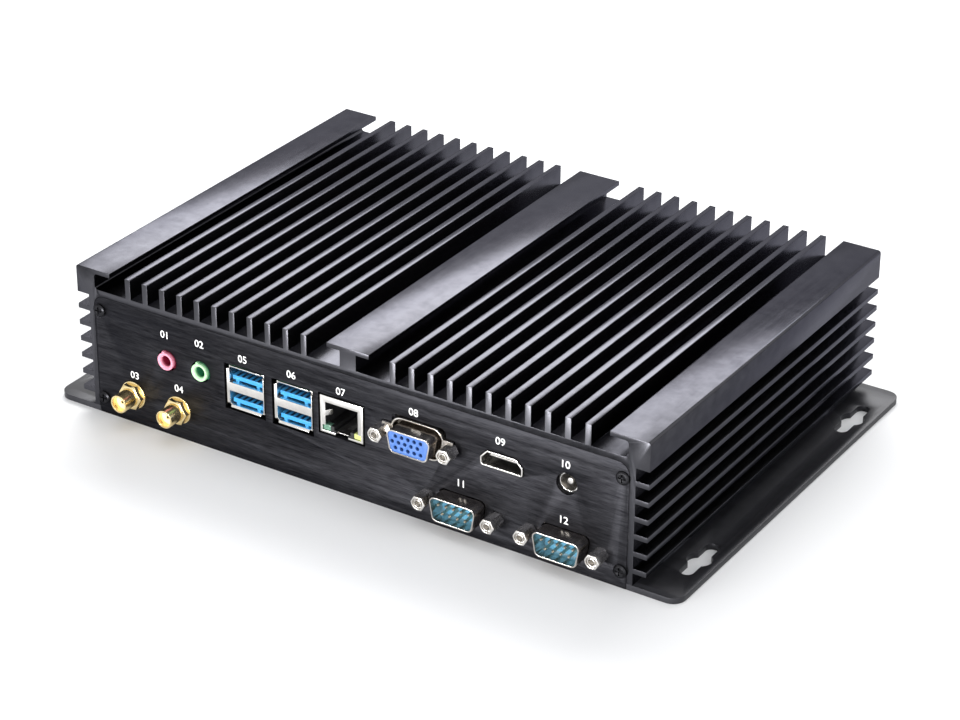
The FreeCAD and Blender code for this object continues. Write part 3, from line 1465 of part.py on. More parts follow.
def heat_path():
    """Processor, pads and the block that carries its heat to the extrusion."""
    half_w = size.package_width / 2
    half_d = size.package_depth / 2
    die_low = board_top + size.package_height
    die_top = die_low + size.die_height
    package = box("package", (-half_w, half_w), (-half_d, half_d), (board_top, die_low))
    die_w = size.die_width / 2
    die_d = size.die_depth / 2
    die = box("die", (-die_w, die_w), (-die_d, die_d), (die_low, die_top))
    finish("processor", join("processor_solid", package, die))

    block_low = die_top + size.pad_thickness
    block_top = ceiling - size.pad_thickness
    wide = size.block_width / 2
    deep = size.block_depth / 2
    lower_pad = box("lower_pad", (-die_w, die_w), (-die_d, die_d), (die_top, block_low))
    upper_pad = box("upper_pad", (-wide, wide), (-deep, deep), (block_top, ceiling))
    pad_holes = [
        cylinder(f"pad_hole_{number}", size.small_thread + size.screw_clearance, block_top, ceiling,
                 "z", spot)
        for number, spot in enumerate(block_screw_spots(), start=1)
    ]
    finish("thermal_pads", group("pad_pair", [lower_pad, cut("upper_pad_solid", upper_pad, *pad_holes)]))

    block = box("block", (-wide, wide), (-deep, deep), (block_low, block_top))
    tools = []
    screws = []
    head_top = block_low + size.block_head_depth
    screw_top = ceiling + size.block_thread_depth
    for number, spot in enumerate(block_screw_spots(), start=1):
        tools.append(cylinder(f"block_hole_{number}", size.small_thread + size.screw_clearance,
                              block_low, block_top, "z", spot))
        tools.append(cylinder(f"block_sink_{number}", size.small_head + size.screw_clearance * 2,
                              block_low, head_top, "z", spot))
        head = cylinder(f"block_screw_head_{number}", size.small_head,
                        head_top - size.small_head_height, head_top, "z", spot)
        shank = cylinder(f"block_screw_shank_{number}", size.small_thread, head_top, screw_top, "z", spot)
        screws.append(join(f"block_screw_{number}", head, shank))
    finish("heat_transfer_block", cut("block_solid", block, *tools))
    finish("heat_block_screws", group("block_screw_set", screws))


def memory_parts():
    """Module lying under the board, held at its back edge by the socket."""
    half = size.memory_width / 2
    x = size.memory_place
    back = size.memory_front + size.memory_length
    top = board_under - size.memory_drop
    low = top - size.memory_thickness
    sheet_box = box("memory_sheet", (x - half, x + half), (size.memory_front, back), (low, top))
    chips = []
    count = int(size.chip_count.number)
    for number in range(count):
        middle = x + size.chip_pitch * (number - (count - 1) / 2)
        across = (middle - size.chip_width / 2, middle + size.chip_width / 2)
        start = size.memory_front + size.chip_front
        along = (start, start + size.chip_length)
        chips.append(box(f"chip_under_{number}", across, along, (low - size.chip_height, low)))
        chips.append(box(f"chip_over_{number}", across, along, (top, top + size.chip_height)))
    finish("memory_module", join("memory_solid", sheet_box, *chips))
    start = back - size.socket_bite
    wide = half + size.socket_margin
    socket = box("socket_block", (x - wide, x + wide), (start, start + size.socket_depth),
                 (board_under - size.socket_height, board_under))
    bite = box("socket_bite", (x - half, x + half), (start, back), (low, top))
    finish("memory_socket", cut("memory_socket_solid", socket, bite))


def wireless_card():
    """Radio card on its edge socket and post, near the antenna sockets."""
    x = size.wireless_place
    half = size.wireless_width / 2
    back = size.wireless_front + size.wireless_length
    top = board_under - size.wireless_drop
    low = top - size.wireless_thickness
    can_half = half - size.can_side
    reach = size.card_socket_reach
    pieces = [
        box("card_sheet", (x - half, x + half), (size.wireless_front, back), (low, top)),
        box("card_can", (x - can_half, x + can_half),
            (size.wireless_front + size.can_end, back - size.can_end), (low - size.can_height, low)),
        box("card_socket", (x - half, x + half), (back - reach, back + reach), (top, board_under)),
        cylinder("card_post", size.card_post, top, board_under, "z",
                 (x, size.wireless_front + size.card_post_inset)),
    ]
    finish("wireless_card", join("wireless_solid", *pieces))


def clock_battery():
    cell = cylinder("cell", size.battery_diameter, board_under - size.battery_height, board_under, "z",
                    (size.battery_place, size.battery_depth_place))
    finish("clock_battery", cell)


def solid_state_drive():
    left = drive_left()
    y = size.drive_depth_place
    deep = size.drive_length / 2
    low = size.base_thickness
    case = box("drive_case", (left, left + size.drive_width), (y - deep, y + deep),
               (low, low + size.drive_height))
    holes = [
        cylinder(f"drive_hole_{number}", size.flat_thread + size.thread_fit, low, size.drive_screw_length,
                 "z", spot)
        for number, spot in enumerate(drive_screw_spots(), start=1)
    ]
    finish("solid_state_drive", cut("drive_solid", case, *holes))


# ---------------------------------------------------------------- build

heatsink_cover()
base_plate()
io_panel()
rear_panel()
case_screws()
audio_jack("mic_jack", size.mic_place)
audio_jack("speaker_jack", size.speaker_place)
antenna_parts()
for number, x in enumerate(usb_places, start=1):
    usb_stack(f"usb3_shell_{number}", f"usb3_insert_{number}", x)
usb_contacts()
lan_parts()
vga_parts()
com_parts()
screwlocks()
hdmi_parts()
dc_parts()
power_button()
status_lights()
for number, x in enumerate(rear_usb_places, start=1):
    usb_stack(f"usb2_shell_{number}", f"usb2_insert_{number}", x, turned=True)
mainboard()
board_fixings()
heat_path()
memory_parts()
wireless_card()
clock_battery()
solid_state_drive()
doc.recompute()

faults = [item.Label for item in doc.Objects if "Invalid" in item.State or "Error" in item.State]
for item in doc.Objects:
    if item.isDerivedFrom("PartDesign::Pocket"):
        if item.Shape.Volume >= item.BaseFeature.Shape.Volume - 1e-6:
            faults.append(item.Label + " cuts nothing")
for node in nodes:
    if node.Shape.isNull() or not node.Shape.isValid():
        faults.append(node.Label + " has no valid shape")
if faults:
    raise RuntimeError("failed: " + ", ".join(faults))

os.makedirs("parts", exist_ok=True)
for node in nodes:
    node.Shape.exportStep(f"parts/{node.Label}.step")
print(len(nodes), "nodes,", sum(len(node.Shape.Solids) for node in nodes), "solids")
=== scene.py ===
import json
import math

import bpy
from mathutils import Matrix, Vector


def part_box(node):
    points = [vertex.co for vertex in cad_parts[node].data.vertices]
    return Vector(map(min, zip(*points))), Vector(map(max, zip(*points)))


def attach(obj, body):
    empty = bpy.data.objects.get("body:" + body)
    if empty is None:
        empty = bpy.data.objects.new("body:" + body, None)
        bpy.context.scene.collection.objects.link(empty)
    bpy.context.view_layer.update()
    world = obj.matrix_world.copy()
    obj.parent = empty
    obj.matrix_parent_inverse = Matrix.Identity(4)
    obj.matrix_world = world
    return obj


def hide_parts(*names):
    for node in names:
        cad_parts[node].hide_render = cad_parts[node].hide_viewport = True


# Dressed scene of a fanless industrial computer: black finned case, slotted ears and a row of sockets.
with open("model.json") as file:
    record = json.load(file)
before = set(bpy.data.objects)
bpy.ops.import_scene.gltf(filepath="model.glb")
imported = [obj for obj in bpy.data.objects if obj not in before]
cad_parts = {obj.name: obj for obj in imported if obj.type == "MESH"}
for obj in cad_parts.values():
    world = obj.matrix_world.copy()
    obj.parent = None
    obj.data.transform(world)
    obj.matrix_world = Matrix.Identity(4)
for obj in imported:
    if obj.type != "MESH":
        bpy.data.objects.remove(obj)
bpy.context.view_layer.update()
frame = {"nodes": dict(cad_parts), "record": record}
nodes = frame["nodes"]
mm = 0.001
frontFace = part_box("io_panel")[0].y

# how edges are broken: distances in millimetres, angles in degrees
edgeBreak = {"merge": 0.001, "flat": 0.5, "segments": 2, "sharpest": 35, "smoothest": 30}


# helpers for shapes

def deselectAll():
    bpy.ops.object.select_all(action="DESELECT")


def makeActive(piece):
    deselectAll()
    piece.select_set(True)
    bpy.context.view_layer.objects.active = piece


def editMode(piece):
    makeActive(piece)
    bpy.ops.object.mode_set(mode="EDIT")
    bpy.ops.mesh.select_mode(type="VERT")


def objectMode():
    bpy.ops.object.mode_set(mode="OBJECT")


def applyPlace(piece):
    makeActive(piece)
    bpy.ops.object.transform_apply(location=True, rotation=True, scale=True)


def bevelEdges(piece, width):
    bevel = piece.modifiers.new("edges", "BEVEL")
    bevel.width = width
    bevel.segments = edgeBreak["segments"]
    bevel.limit_method = "ANGLE"
    bevel.angle_limit = math.radians(edgeBreak["sharpest"])
    makeActive(piece)
    bpy.ops.object.modifier_apply(modifier=bevel.name)


def smooth(piece):
    makeActive(piece)
    bpy.ops.object.shade_smooth_by_angle(angle=math.radians(edgeBreak["smoothest"]))


def dress(piece, material, body="case"):
    piece.data.materials.clear()
    piece.data.materials.append(material)
    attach(piece, body)


def slotOf(nodeName):
    return [row["material_slot"] for row in frame["record"]["subparts"] if row["node"] == nodeName][0]


def softened(nodeName, name, width, material, body):
    # a merged copy of a CAD node whose sharp edges are broken, as a real edge is
    piece = bpy.data.objects.new(name, nodes[nodeName].data.copy())
    bpy.context.scene.collection.objects.link(piece)
    editMode(piece)
    bpy.ops.mesh.select_all(action="SELECT")
    bpy.ops.mesh.customdata_custom_splitnormals_clear()
    bpy.ops.mesh.remove_doubles(threshold=edgeBreak["merge"] * mm)
    bpy.ops.mesh.dissolve_limited(angle_limit=math.radians(edgeBreak["flat"]))
    objectMode()
    bevelEdges(piece, width)
    smooth(piece)
    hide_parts(nodeName)
    dress(piece, material, body)


def recolour(nodeName, material):
    nodes[nodeName].data.materials.clear()
    nodes[nodeName].data.materials.append(material)


# camera: long lens, looking down on the right front corner
cameraPlace = {
    "azimuth": 32.508, "elevation": 28.173, "roll": 0.316,
    "location": (462.2 * mm, -725.5 * mm, 475.0 * mm), "lens": 110.93, "sensor": 36.0,
}


def placeCamera():
    data = bpy.data.cameras.new("camera")
    data.lens = cameraPlace["lens"]
    data.sensor_width = cameraPlace["sensor"]
    camera = bpy.data.objects.new("camera", data)
    bpy.context.scene.collection.objects.link(camera)
    turn = (
        Matrix.Rotation(math.radians(cameraPlace["azimuth"]), 4, "Z")
        @ Matrix.Rotation(math.radians(90 - cameraPlace["elevation"]), 4, "X")
        @ Matrix.Rotation(math.radians(cameraPlace["roll"]), 4, "Z")
    )
    camera.matrix_world = Matrix.Translation(cameraPlace["location"]) @ turn
    bpy.context.scene.camera = camera


# lights: a large panel behind on the left, a soft top, a fill on the right,
# and a low strip in front that stays below the fin tops
lamps = {
    "backPanel": {"place": (-0.37, 0.77, 0.82), "aim": (0.03, 0.0, 0.03), "size": (1.1, 0.5), "power": 14.5},
    "topPanel": {"place": (0.15, -0.1, 1.5), "aim": (0.0, 0.0, 0.0), "size": (1.2, 1.2), "power": 6.0},
    "rightFill": {"place": (1.1, -0.5, 0.5), "aim": (0.0, 0.0, 0.02), "size": (0.7, 0.7), "power": 4.0},
    "frontFill": {
        "place": (0.05, -0.42, 0.027), "aim": (0.12, -0.08, 0.027), "size": (0.36, 0.045), "power": 2.2,
    },
}
surround = {"light": (0.52, 0.53, 0.55), "seen": (1.0, 1.0, 1.0)}
floorLook = {"sides": 96, "radius": 4.0, "colour": (0.9, 0.9, 0.9), "rough": 0.8, "drop": 0.05 * mm}


def placeLamps():
    for name, lamp in lamps.items():
        data = bpy.data.lights.new(name, "AREA")
        data.shape = "RECTANGLE"
        data.size, data.size_y = lamp["size"]
        data.energy = lamp["power"]
        light = bpy.data.objects.new(name, data)
        bpy.context.scene.collection.objects.link(light)
        light.location = lamp["place"]
        way = Vector(lamp["aim"]) - Vector(lamp["place"])
        light.rotation_euler = way.to_track_quat("-Z", "Y").to_euler()
        light.visible_camera = False


def lightSurround():
    # soft grey light for the object, white wherever a ray sees the background itself
    world = bpy.data.worlds.new("surround")
    bpy.context.scene.world = world
    world.use_nodes = True
    tree = world.node_tree
    path = tree.nodes.new("ShaderNodeLightPath")
    seen = path.outputs["Is Camera Ray"]
    for label in ("Is Glossy Ray", "Is Transmission Ray"):
        either = tree.nodes.new("ShaderNodeMath")
        either.operation = "MAXIMUM"
        tree.links.new(seen, either.inputs[0])
        tree.links.new(path.outputs[label], either.inputs[1])
        seen = either.outputs["Value"]
    mix = tree.nodes.new("ShaderNodeMix")
    mix.data_type = "RGBA"
    mix.inputs["A"].default_value = (*surround["light"], 1)
    mix.inputs["B"].default_value = (*surround["seen"], 1)
    tree.links.new(seen, mix.inputs["Factor"])
    tree.links.new(mix.outputs["Result"], tree.nodes["Background"].inputs["Color"])


def layFloor():
    deselectAll()
    bpy.ops.mesh.primitive_circle_add(
        vertices=floorLook["sides"], radius=floorLook["radius"], fill_type="NGON",
    )
    floor = bpy.context.object
    floor.name = "floor"
    floor.location.z = -floorLook["drop"]
    material = bpy.data.materials.new("paleFloor")
    material.use_nodes = True
    shader = material.node_tree.nodes["Principled BSDF"]
    shader.inputs["Base Color"].default_value = (*floorLook["colour"], 1)
    shader.inputs["Roughness"].default_value = floorLook["rough"]
    shader.inputs["Specular IOR Level"].default_value = 0.0
    floor.data.materials.append(material)


# shared effects, each a group that puts out one mask; a density or scale counts per metre,
# and "broad" is the share of the wider layer B in the streaks
streakShape = {
    "density": (60, 60, 1500), "broad": 0.35, "rough": 0.62,
    "layers": {"A": {"Scale": 1.0, "Detail": 3.0}, "B": {"Scale": 0.23, "Detail": 1.0}},
}
speckleShape = {"scale": 3000.0, "detail": 4.0}
scuffAndGlintShape = {"sharpness": 0.54, "patches": 260.0, "patchShift": 0.06, "softness": 0.08}


def newGroup(name, inputs):
    group = bpy.data.node_groups.new(name, "ShaderNodeTree")
    for label, kind, value in inputs:
        socket = group.interface.new_socket(name=label, in_out="INPUT", socket_type=kind)
        socket.default_value = value
    group.interface.new_socket(name="Mask", in_out="OUTPUT", socket_type="NodeSocketFloat")
    return group, group.nodes.new("NodeGroupInput"), group.nodes.new("NodeGroupOutput")


def brushedGroup():
    # streaks: noise that is long along one axis and fine across it, in two widths
    group, enter, leave = newGroup("brushedStreaks", [
        ("Density", "NodeSocketVector", streakShape["density"]),
        ("Broad", "NodeSocketFloat", streakShape["broad"]),
    ])
    place = group.nodes.new("ShaderNodeTexCoord")
    stretch = group.nodes.new("ShaderNodeVectorMath")
    stretch.operation = "MULTIPLY"
    group.links.new(place.outputs["Object"], stretch.inputs[0])
    group.links.new(enter.outputs["Density"], stretch.inputs[1])
    blend = group.nodes.new("ShaderNodeMix")
    group.links.new(enter.outputs["Broad"], blend.inputs["Factor"])
    for end, layer in streakShape["layers"].items():
        noise = group.nodes.new("ShaderNodeTexNoise")
        noise.inputs["Scale"].default_value = layer["Scale"]
        noise.inputs["Detail"].default_value = layer["Detail"]
        noise.inputs["Roughness"].default_value = streakShape["rough"]
        group.links.new(stretch.outputs["Vector"], noise.inputs["Vector"])
        group.links.new(noise.outputs["Fac"], blend.inputs[end])
    group.links.new(blend.outputs["Result"], leave.inputs["Mask"])
    return group


def speckleGroup():
    # fine even grain of a moulded, plated or blasted surface
    group, enter, leave = newGroup("fineSpeckle", [("Scale", "NodeSocketFloat", speckleShape["scale"])])
    place = group.nodes.new("ShaderNodeTexCoord")
    noise = group.nodes.new("ShaderNodeTexNoise")
    noise.inputs["Detail"].default_value = speckleShape["detail"]
    group.links.new(place.outputs["Object"], noise.inputs["Vector"])
    group.links.new(enter.outputs["Scale"], noise.inputs["Scale"])
    group.links.new(noise.outputs["Fac"], leave.inputs["Mask"])
    return group


def scuffAndGlintGroup():
    # scuffed edges and painted highlight: lighter colour at sharp convex places, broken up by a coarse noise
    group, enter, leave = newGroup("edgeWear", [("Sharpness", "NodeSocketFloat", scuffAndGlintShape["sharpness"])])
    shape = group.nodes.new("ShaderNodeNewGeometry")
    place = group.nodes.new("ShaderNodeTexCoord")
    noise = group.nodes.new("ShaderNodeTexNoise")
    noise.inputs["Scale"].default_value = scuffAndGlintShape["patches"]
    shift = group.nodes.new("ShaderNodeMath")
    shift.operation = "MULTIPLY_ADD"
    shift.inputs[1].default_value = scuffAndGlintShape["patchShift"]
    top = group.nodes.new("ShaderNodeMath")
    top.inputs[1].default_value = scuffAndGlintShape["softness"]
    edge = group.nodes.new("ShaderNodeMapRange")
    group.links.new(place.outputs["Object"], noise.inputs["Vector"])
    group.links.new(noise.outputs["Fac"], shift.inputs[0])
    group.links.new(shape.outputs["Pointiness"], shift.inputs[2])
    group.links.new(enter.outputs["Sharpness"], top.inputs[0])
    group.links.new(shift.outputs["Value"], edge.inputs["Value"])
    group.links.new(enter.outputs["Sharpness"], edge.inputs["From Min"])
    group.links.new(top.outputs["Value"], edge.inputs["From Max"])
    group.links.new(edge.outputs["Result"], leave.inputs["Mask"])
    return group


def fadeGroup():
    # how far a point lies along an axis: 0 up to the start, 1 past the reach
    group, enter, leave = newGroup("placeFade", [
        ("Axis", "NodeSocketVector", (0, 1, 0)),
        ("Start", "NodeSocketFloat", 0.0),
        ("Reach", "NodeSocketFloat", 1.0 * mm),
    ])
    place = group.nodes.new("ShaderNodeTexCoord")
    along = group.nodes.new("ShaderNodeVectorMath")
    along.operation = "DOT_PRODUCT"
    past = group.nodes.new("ShaderNodeMath")
    past.operation = "SUBTRACT"
    share = group.nodes.new("ShaderNodeMath")
    share.operation = "DIVIDE"
    share.use_clamp = True
    group.links.new(place.outputs["Object"], along.inputs[0])
    group.links.new(enter.outputs["Axis"], along.inputs[1])
    group.links.new(along.outputs["Value"], past.inputs[0])
    group.links.new(enter.outputs["Start"], past.inputs[1])
    group.links.new(past.outputs["Value"], share.inputs[0])
    group.links.new(enter.outputs["Reach"], share.inputs[1])
    group.links.new(share.outputs["Value"], leave.inputs["Mask"])
    return group


groups = {
    "streaks": brushedGroup(), "speckle": speckleGroup(), "wear": scuffAndGlintGroup(), "fade": fadeGroup(),
}


def useGroup(tree, kind, values):
    node = tree.nodes.new("ShaderNodeGroup")
    node.node_tree = groups[kind]
    for label, value in values.items():
        node.inputs[label].default_value = value
    return node.outputs["Mask"]


def blendColour(tree, factor, first, second):
    mix = tree.nodes.new("ShaderNodeMix")
    mix.data_type = "RGBA"
    tree.links.new(factor, mix.inputs["Factor"])
    for label, colour in (("A", first), ("B", second)):
        if isinstance(colour, tuple):
            mix.inputs[label].default_value = (*colour, 1)
        else:
            tree.links.new(colour, mix.inputs[label])
    return mix.outputs["Result"]


def stretchMask(tree, mask, low, high):
    # a noise mostly stays in this span: spread it over the wanted range
    noiseSpan = (0.3, 0.7)
    spread = tree.nodes.new("ShaderNodeMapRange")
    for label, value in zip(("From Min", "From Max", "To Min", "To Max"), (*noiseSpan, low, high)):
        spread.inputs[label].default_value = value
    tree.links.new(mask, spread.inputs["Value"])
    return spread.outputs["Result"]


# what a finish has unless its look says otherwise; the depth of the bump is in millimetres
plainLook = {
    "metal": 0.0, "specular": 0.5, "tint": (1, 1, 1), "scale": 2500.0, "stretch": 0.6,
    "bump": 0.05, "depth": 0.05,
}


def makeFinish(name, ownLook):
    look = {**plainLook, **ownLook}
    material = bpy.data.materials.new(name)
    material.use_nodes = True
    tree = material.node_tree
    shader = tree.nodes["Principled BSDF"]
    shader.inputs["Metallic"].default_value = look["metal"]
    shader.inputs["Specular IOR Level"].default_value = look["specular"]
    shader.inputs["Specular Tint"].default_value = (*look["tint"], 1)
    if "grain" in look:
        mask = useGroup(tree, "streaks", {"Density": look["grain"]})
    else:
        mask = useGroup(tree, "speckle", {"Scale": look["scale"]})
    colour = blendColour(tree, stretchMask(tree, mask, 0, 1), look["low"], look["high"])
    # sharp edges lightened: partly scuffing, partly painted highlight
    if "worn" in look:
        scuffAndGlintMask = useGroup(tree, "wear", {"Sharpness": scuffAndGlintShape["sharpness"]})
        colour = blendColour(tree, scuffAndGlintMask, colour, look["worn"])
    # blend towards a second colour along an axis; inward fades are painted shade, a sideways fade a second
    # own colour
    if "fade" in look:
        axis, start, reach, shade = look["fade"]
        deep = useGroup(tree, "fade", {"Axis": axis, "Start": start, "Reach": reach * mm})
        colour = blendColour(tree, deep, colour, shade)
    tree.links.new(colour, shader.inputs["Base Color"])
    tree.links.new(stretchMask(tree, mask, *look["rough"]), shader.inputs["Roughness"])
    if "across" in look:
        shader.inputs["Anisotropic"].default_value = look["stretch"]
        across = tree.nodes.new("ShaderNodeCombineXYZ")
        for axis, part in zip("XYZ", look["across"]):
            across.inputs[axis].default_value = part
        tree.links.new(across.outputs["Vector"], shader.inputs["Tangent"])
    raised = tree.nodes.new("ShaderNodeBump")
    raised.inputs["Strength"].default_value = look["bump"]
    raised.inputs["Distance"].default_value = look["depth"] * mm
    tree.links.new(mask, raised.inputs["Height"])
    tree.links.new(raised.outputs["Normal"], shader.inputs["Normal"])
    return material


# brushed surfaces: grain density per metre along each axis, and the direction across the grain
alongCase = {"grain": (3200, 90, 3200), "across": (1, 0, 1)}
alongPanel = {"grain": (210, 210, 3400), "across": (0, 0, 1)}

# a fade gives an axis, where on it the second colour begins, over how many millimetres it grows, and that
# colour; the inward fades are painted shade deeper inside socket mouths
inward, sideways = (0, 1, 0), (1, 0, 0)


def mouthOf(nodeName, depth):
    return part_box(nodeName)[0].y + depth * mm


def middleOf(nodeName):
    low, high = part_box(nodeName)
    return (low.x + high.x) / 2


looks = {
    # anodised case: its lighter sharp edges are partly scuffing, partly painted highlight like the light
    # lines on the fin tips
    "anodisedExtrusion": {
        "low": (0.013, 0.013, 0.015), "high": (0.034, 0.034, 0.038), "rough": (0.2, 0.27), "metal": 1.0,
        "tint": (0.53, 0.53, 0.57), "bump": 0.03, "worn": (0.07, 0.07, 0.078), **alongCase,
    },
    "brushedPanel": {
        "low": (0.006, 0.006, 0.0075), "high": (0.042, 0.042, 0.047), "rough": (0.42, 0.54), "metal": 1.0,
        "tint": (0.5, 0.5, 0.54), "stretch": 0.4, "bump": 0.3, **alongPanel,
    },
    "coatedSheet": {
        "low": (0.008, 0.008, 0.009), "high": (0.012, 0.012, 0.014), "rough": (0.34, 0.4), "specular": 0.3,
        "tint": (0.93, 0.93, 1.0), "bump": 0.06, "worn": (0.03, 0.03, 0.034),
    },
    "blackScrew": {
        "low": (0.02, 0.02, 0.022), "high": (0.035, 0.035, 0.038), "rough": (0.26, 0.34), "metal": 1.0,
        "scale": 900.0, "bump": 0.03, "tint": (0.5, 0.5, 0.53),
    },
    "zincSteel": {"low": (0.52, 0.52, 0.54), "high": (0.62, 0.62, 0.63), "rough": (0.24, 0.3), "metal": 1.0},
    # painted shade: the mic jack bore turns dark crimson deeper inside its mouth
    "pinkPlastic": {
        "low": (0.66, 0.24, 0.33), "high": (0.78, 0.32, 0.42), "rough": (0.3, 0.36), "scale": 1800.0,
        "fade": (inward, mouthOf("mic_jack", 0.15), 1.4, (0.2, 0.008, 0.03)),
    },
    # painted shade: the speaker jack bore turns dark green deeper inside its mouth
    "greenPlastic": {
        "low": (0.36, 0.62, 0.34), "high": (0.46, 0.74, 0.44), "rough": (0.3, 0.36), "scale": 1800.0,
        "fade": (inward, mouthOf("speaker_jack", 0.15), 1.4, (0.02, 0.16, 0.07)),
    },
    "goldPlate": {
        "low": (0.78, 0.61, 0.3), "high": (0.9, 0.74, 0.42), "rough": (0.18, 0.24), "metal": 1.0,
        "scale": 600.0, "bump": 0.02,
    },
    "creamInsulator": {"low": (0.74, 0.64, 0.38), "high": (0.84, 0.74, 0.48), "rough": (0.4, 0.5)},
    "nickelSheet": {
        "low": (0.74, 0.72, 0.69), "high": (0.8, 0.78, 0.75), "rough": (0.2, 0.25), "metal": 1.0,
        "scale": 500.0, "bump": 0.02,
    },
    # D-shell nickel darkened as painted shade; its bright sharp edges are painted highlight on the rims
    "shadedNickel": {
        "low": (0.34, 0.31, 0.28), "high": (0.4, 0.37, 0.34), "rough": (0.16, 0.22), "metal": 1.0,
        "scale": 500.0, "bump": 0.02, "tint": (0.6, 0.57, 0.53), "worn": (0.92, 0.9, 0.87),
    },
    # painted shade: the USB insert turns dark navy deeper inside the mouth
    "bluePlastic": {
        "low": (0.025, 0.22, 0.5), "high": (0.04, 0.3, 0.62), "rough": (0.3, 0.38), "scale": 2000.0,
        "fade": (inward, mouthOf("usb3_insert_1", 0.4), 3.0, (0.004, 0.05, 0.13)),
    },
    # USB contacts given dark navy instead of their plating colour: painted shade deep inside the mouths
    "navyContact": {"low": (0.004, 0.014, 0.035), "high": (0.008, 0.022, 0.05), "rough": (0.3, 0.4)},
    # painted shade: the VGA insert turns near-black blue deeper inside the shell
    "displayBlue": {
        "low": (0.042, 0.115, 0.35), "high": (0.055, 0.14, 0.4), "rough": (0.4, 0.46), "scale": 2000.0,
        "fade": (inward, mouthOf("vga_insert", 0.15), 1.2, (0.004, 0.01, 0.06)),
    },
    "cyanPlastic": {
        "low": (0.06, 0.2, 0.31), "high": (0.1, 0.29, 0.42), "rough": (0.25, 0.32), "scale": 2000.0,
    },
    # COM pins given a dim grey-gold instead of gold plate: painted shade inside the D-shell
    "pinNickel": {"low": (0.36, 0.34, 0.27), "high": (0.5, 0.47, 0.38), "rough": (0.2, 0.28), "metal": 1.0},
    "blackPlastic": {"low": (0.008, 0.008, 0.008), "high": (0.014, 0.014, 0.015), "rough": (0.36, 0.46)},
    "tintedLens": {
        "low": (0.08, 0.17, 0.12), "high": (0.12, 0.24, 0.17), "rough": (0.2, 0.3), "scale": 1500.0,
        "fade": (sideways, middleOf("lan_lights"), 0.5, (0.46, 0.5, 0.17)),
    },
    "nickelPost": {
        "low": (0.66, 0.64, 0.61), "high": (0.76, 0.74, 0.71), "rough": (0.22, 0.28), "metal": 1.0,
        "scale": 500.0, "bump": 0.02,
    },
    "boardGreen": {
        "low": (0.01, 0.09, 0.04), "high": (0.02, 0.16, 0.07), "rough": (0.35, 0.5), "scale": 700.0,
    },
    "turnedBrass": {
        "low": (0.6, 0.42, 0.15), "high": (0.76, 0.58, 0.26), "rough": (0.25, 0.35), "metal": 1.0,
    },
    "chipBlack": {"low": (0.012, 0.013, 0.012), "high": (0.03, 0.031, 0.03), "rough": (0.45, 0.6)},
    "thermalPad": {
        "low": (0.3, 0.35, 0.42), "high": (0.42, 0.47, 0.52), "rough": (0.7, 0.85), "scale": 900.0,
    },
    "milledBlock": {
        "low": (0.6, 0.61, 0.63), "high": (0.8, 0.81, 0.82), "rough": (0.25, 0.4), "metal": 1.0,
        "grain": (40, 900, 900),
    },
    "driveCase": {"low": (0.35, 0.35, 0.37), "high": (0.5, 0.5, 0.52), "rough": (0.35, 0.5), "metal": 1.0},
    "whitePrint": {"low": (0.8, 0.8, 0.79), "high": (0.88, 0.88, 0.87), "rough": (0.5, 0.6)},
}
finishes = {name: makeFinish(name, look) for name, look in looks.items()}

# the finish of each material slot, and of the nodes that differ from their slot
finishOfSlot = {
    "black_anodised": "anodisedExtrusion", "black_brushed": "brushedPanel", "black_sheet": "coatedSheet",
    "black_steel": "blackScrew", "bright_steel": "zincSteel", "pink_plastic": "pinkPlastic",
    "green_plastic": "greenPlastic", "gold_plate": "goldPlate", "cream_plastic": "creamInsulator",
    "nickel_shell": "nickelSheet", "blue_plastic": "bluePlastic", "violet_blue_plastic": "displayBlue",
    "cyan_plastic": "cyanPlastic", "black_plastic": "blackPlastic", "light_lens": "tintedLens",
    "nickel_post": "nickelPost", "board_green": "boardGreen", "brass_post": "turnedBrass",
    "chip_black": "chipBlack", "pad_grey": "thermalPad", "bare_aluminium": "milledBlock",
    "drive_case": "driveCase",
}
finishOfNode = {
    "vga_shell": "shadedNickel", "com_shell_1": "shadedNickel", "com_shell_2": "shadedNickel",
    "usb3_contacts": "navyContact", "com_pins": "pinNickel",
}

placeCamera()
placeLamps()
lightSurround()
layFloor()
print("camera, lights and floor placed")

# pieces whose edges are broken, with the width of the break in millimetres
brokenEdges = {
    "heatsink_cover": 0.22, "io_panel": 0.12, "rear_panel": 0.12, "base_plate": 0.2,
    "io_panel_screws": 0.08, "rear_panel_screws": 0.08,
    "mic_jack": 0.3, "speaker_jack": 0.3, "antenna_socket_1": 0.1, "antenna_socket_2": 0.1,
    "antenna_nuts": 0.1, "antenna_washers": 0.12,
    "usb3_shell_1": 0.06, "usb3_shell_2": 0.06, "usb2_shell_1": 0.06, "usb2_shell_2": 0.06,
    "usb3_insert_1": 0.12, "usb3_insert_2": 0.12, "usb2_insert_1": 0.12, "usb2_insert_2": 0.12,
    "lan_shell": 0.1, "lan_lights": 0.3, "vga_shell": 0.1, "com_shell_1": 0.1, "com_shell_2": 0.1,
    "vga_insert": 0.06, "com_insert_1": 0.06, "com_insert_2": 0.06,
    "vga_screwlocks": 0.12, "com_screwlocks": 0.12,
    "hdmi_shell": 0.08, "dc_jack_body": 0.15, "dc_jack_sleeve": 0.1, "dc_jack_pin": 0.3,
    "power_button_bezel": 0.4, "power_button_cap": 0.5, "status_lights": 0.3,
}
ridesOn = {"power_button_cap": "button"}


def dressedName(nodeName):
    first, *rest = nodeName.split("_")
    return first + "".join(word.capitalize() for word in rest) + ".dressed"


for nodeName in nodes:
    finish = finishes[finishOfNode.get(nodeName, finishOfSlot[slotOf(nodeName)])]
    if nodeName in brokenEdges:
        body = ridesOn.get(nodeName, "case")
        softened(nodeName, dressedName(nodeName), brokenEdges[nodeName] * mm, finish, body)
    else:
        recolour(nodeName, finish)
print("case and sockets dressed")


# plated lip along the upper front edge of the display socket's tongue, in millimetres
tongueLip = {"width": 9.4, "height": 0.45, "proud": 0.3, "drop": 1.1, "edge": 0.05}


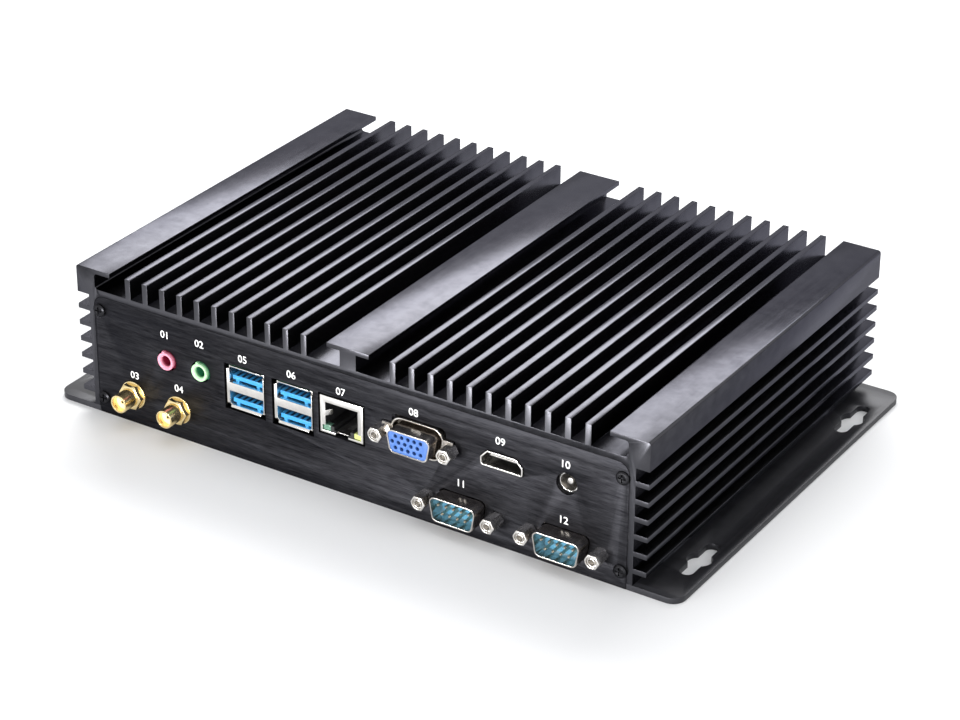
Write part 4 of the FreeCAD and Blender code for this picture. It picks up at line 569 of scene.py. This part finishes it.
def layTongueLip():
    low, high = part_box("hdmi_insert")
    deselectAll()
    bpy.ops.mesh.primitive_cube_add(size=1)
    lip = bpy.context.object
    lip.name = "hdmiTongueLip"
    lip.scale = (tongueLip["width"] * mm, tongueLip["proud"] * mm, tongueLip["height"] * mm)
    lip.location = (
        middleOf("hdmi_insert"),
        low.y - tongueLip["proud"] / 2 * mm,
        high.z - (tongueLip["drop"] + tongueLip["height"] / 2) * mm,
    )
    applyPlace(lip)
    bevelEdges(lip, tongueLip["edge"] * mm)
    dress(lip, finishes["nickelSheet"])


layTongueLip()
print("tongue lip laid")

# port numbers in white print, in millimetres: each spot gives the piece it stands over,
# how far it is moved sideways from that piece's middle and how far up from its top
portNumbers = {
    "height": 2.5, "capShare": 0.7, "thickness": 0.03, "bold": 0.02, "curveSteps": 4,
    "spots": {
        "01": ("mic_jack", -0.4, 3.2), "02": ("speaker_jack", -0.2, 3.8),
        "03": ("antenna_socket_1", 0.7, 3.1), "04": ("antenna_socket_2", 0.14, 3.5),
        "05": ("usb3_shell_1", -0.46, 3.7), "06": ("usb3_shell_2", -0.26, 3.8),
        "07": ("lan_shell", -0.15, 3.0), "08": ("vga_shell", -1.86, 2.05),
        "09": ("hdmi_shell", -0.66, 3.6), "10": ("dc_jack_body", -0.6, 2.9),
        "11": ("com_shell_1", -0.46, 1.85), "12": ("com_shell_2", -0.86, 0.95),
    },
}


def printNumbers():
    digits = []
    for text, (nodeName, shift, rise) in portNumbers["spots"].items():
        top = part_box(nodeName)[1].z
        deselectAll()
        bpy.ops.object.text_add()
        label = bpy.context.object
        label.data.body = text
        label.data.size = portNumbers["height"] / portNumbers["capShare"] * mm
        label.data.offset = portNumbers["bold"] * mm
        label.data.align_x = "CENTER"
        label.data.align_y = "CENTER"
        label.data.extrude = portNumbers["thickness"] / 2 * mm
        label.data.resolution_u = portNumbers["curveSteps"]
        makeActive(label)
        bpy.ops.object.convert(target="MESH")
        label = bpy.context.object
        label.rotation_euler = (math.radians(90), 0, 0)
        label.location = (
            middleOf(nodeName) + shift * mm,
            frontFace - portNumbers["thickness"] / 2 * mm,
            top + rise * mm,
        )
        applyPlace(label)
        digits.append(label)
    deselectAll()
    for label in digits:
        label.select_set(True)
    bpy.context.view_layer.objects.active = digits[0]
    bpy.ops.object.join()
    digits[0].name = "portNumbers"
    dress(digits[0], finishes["whitePrint"])


printNumbers()
print("port numbers printed")

bpy.context.scene.view_settings.view_transform = "Standard"
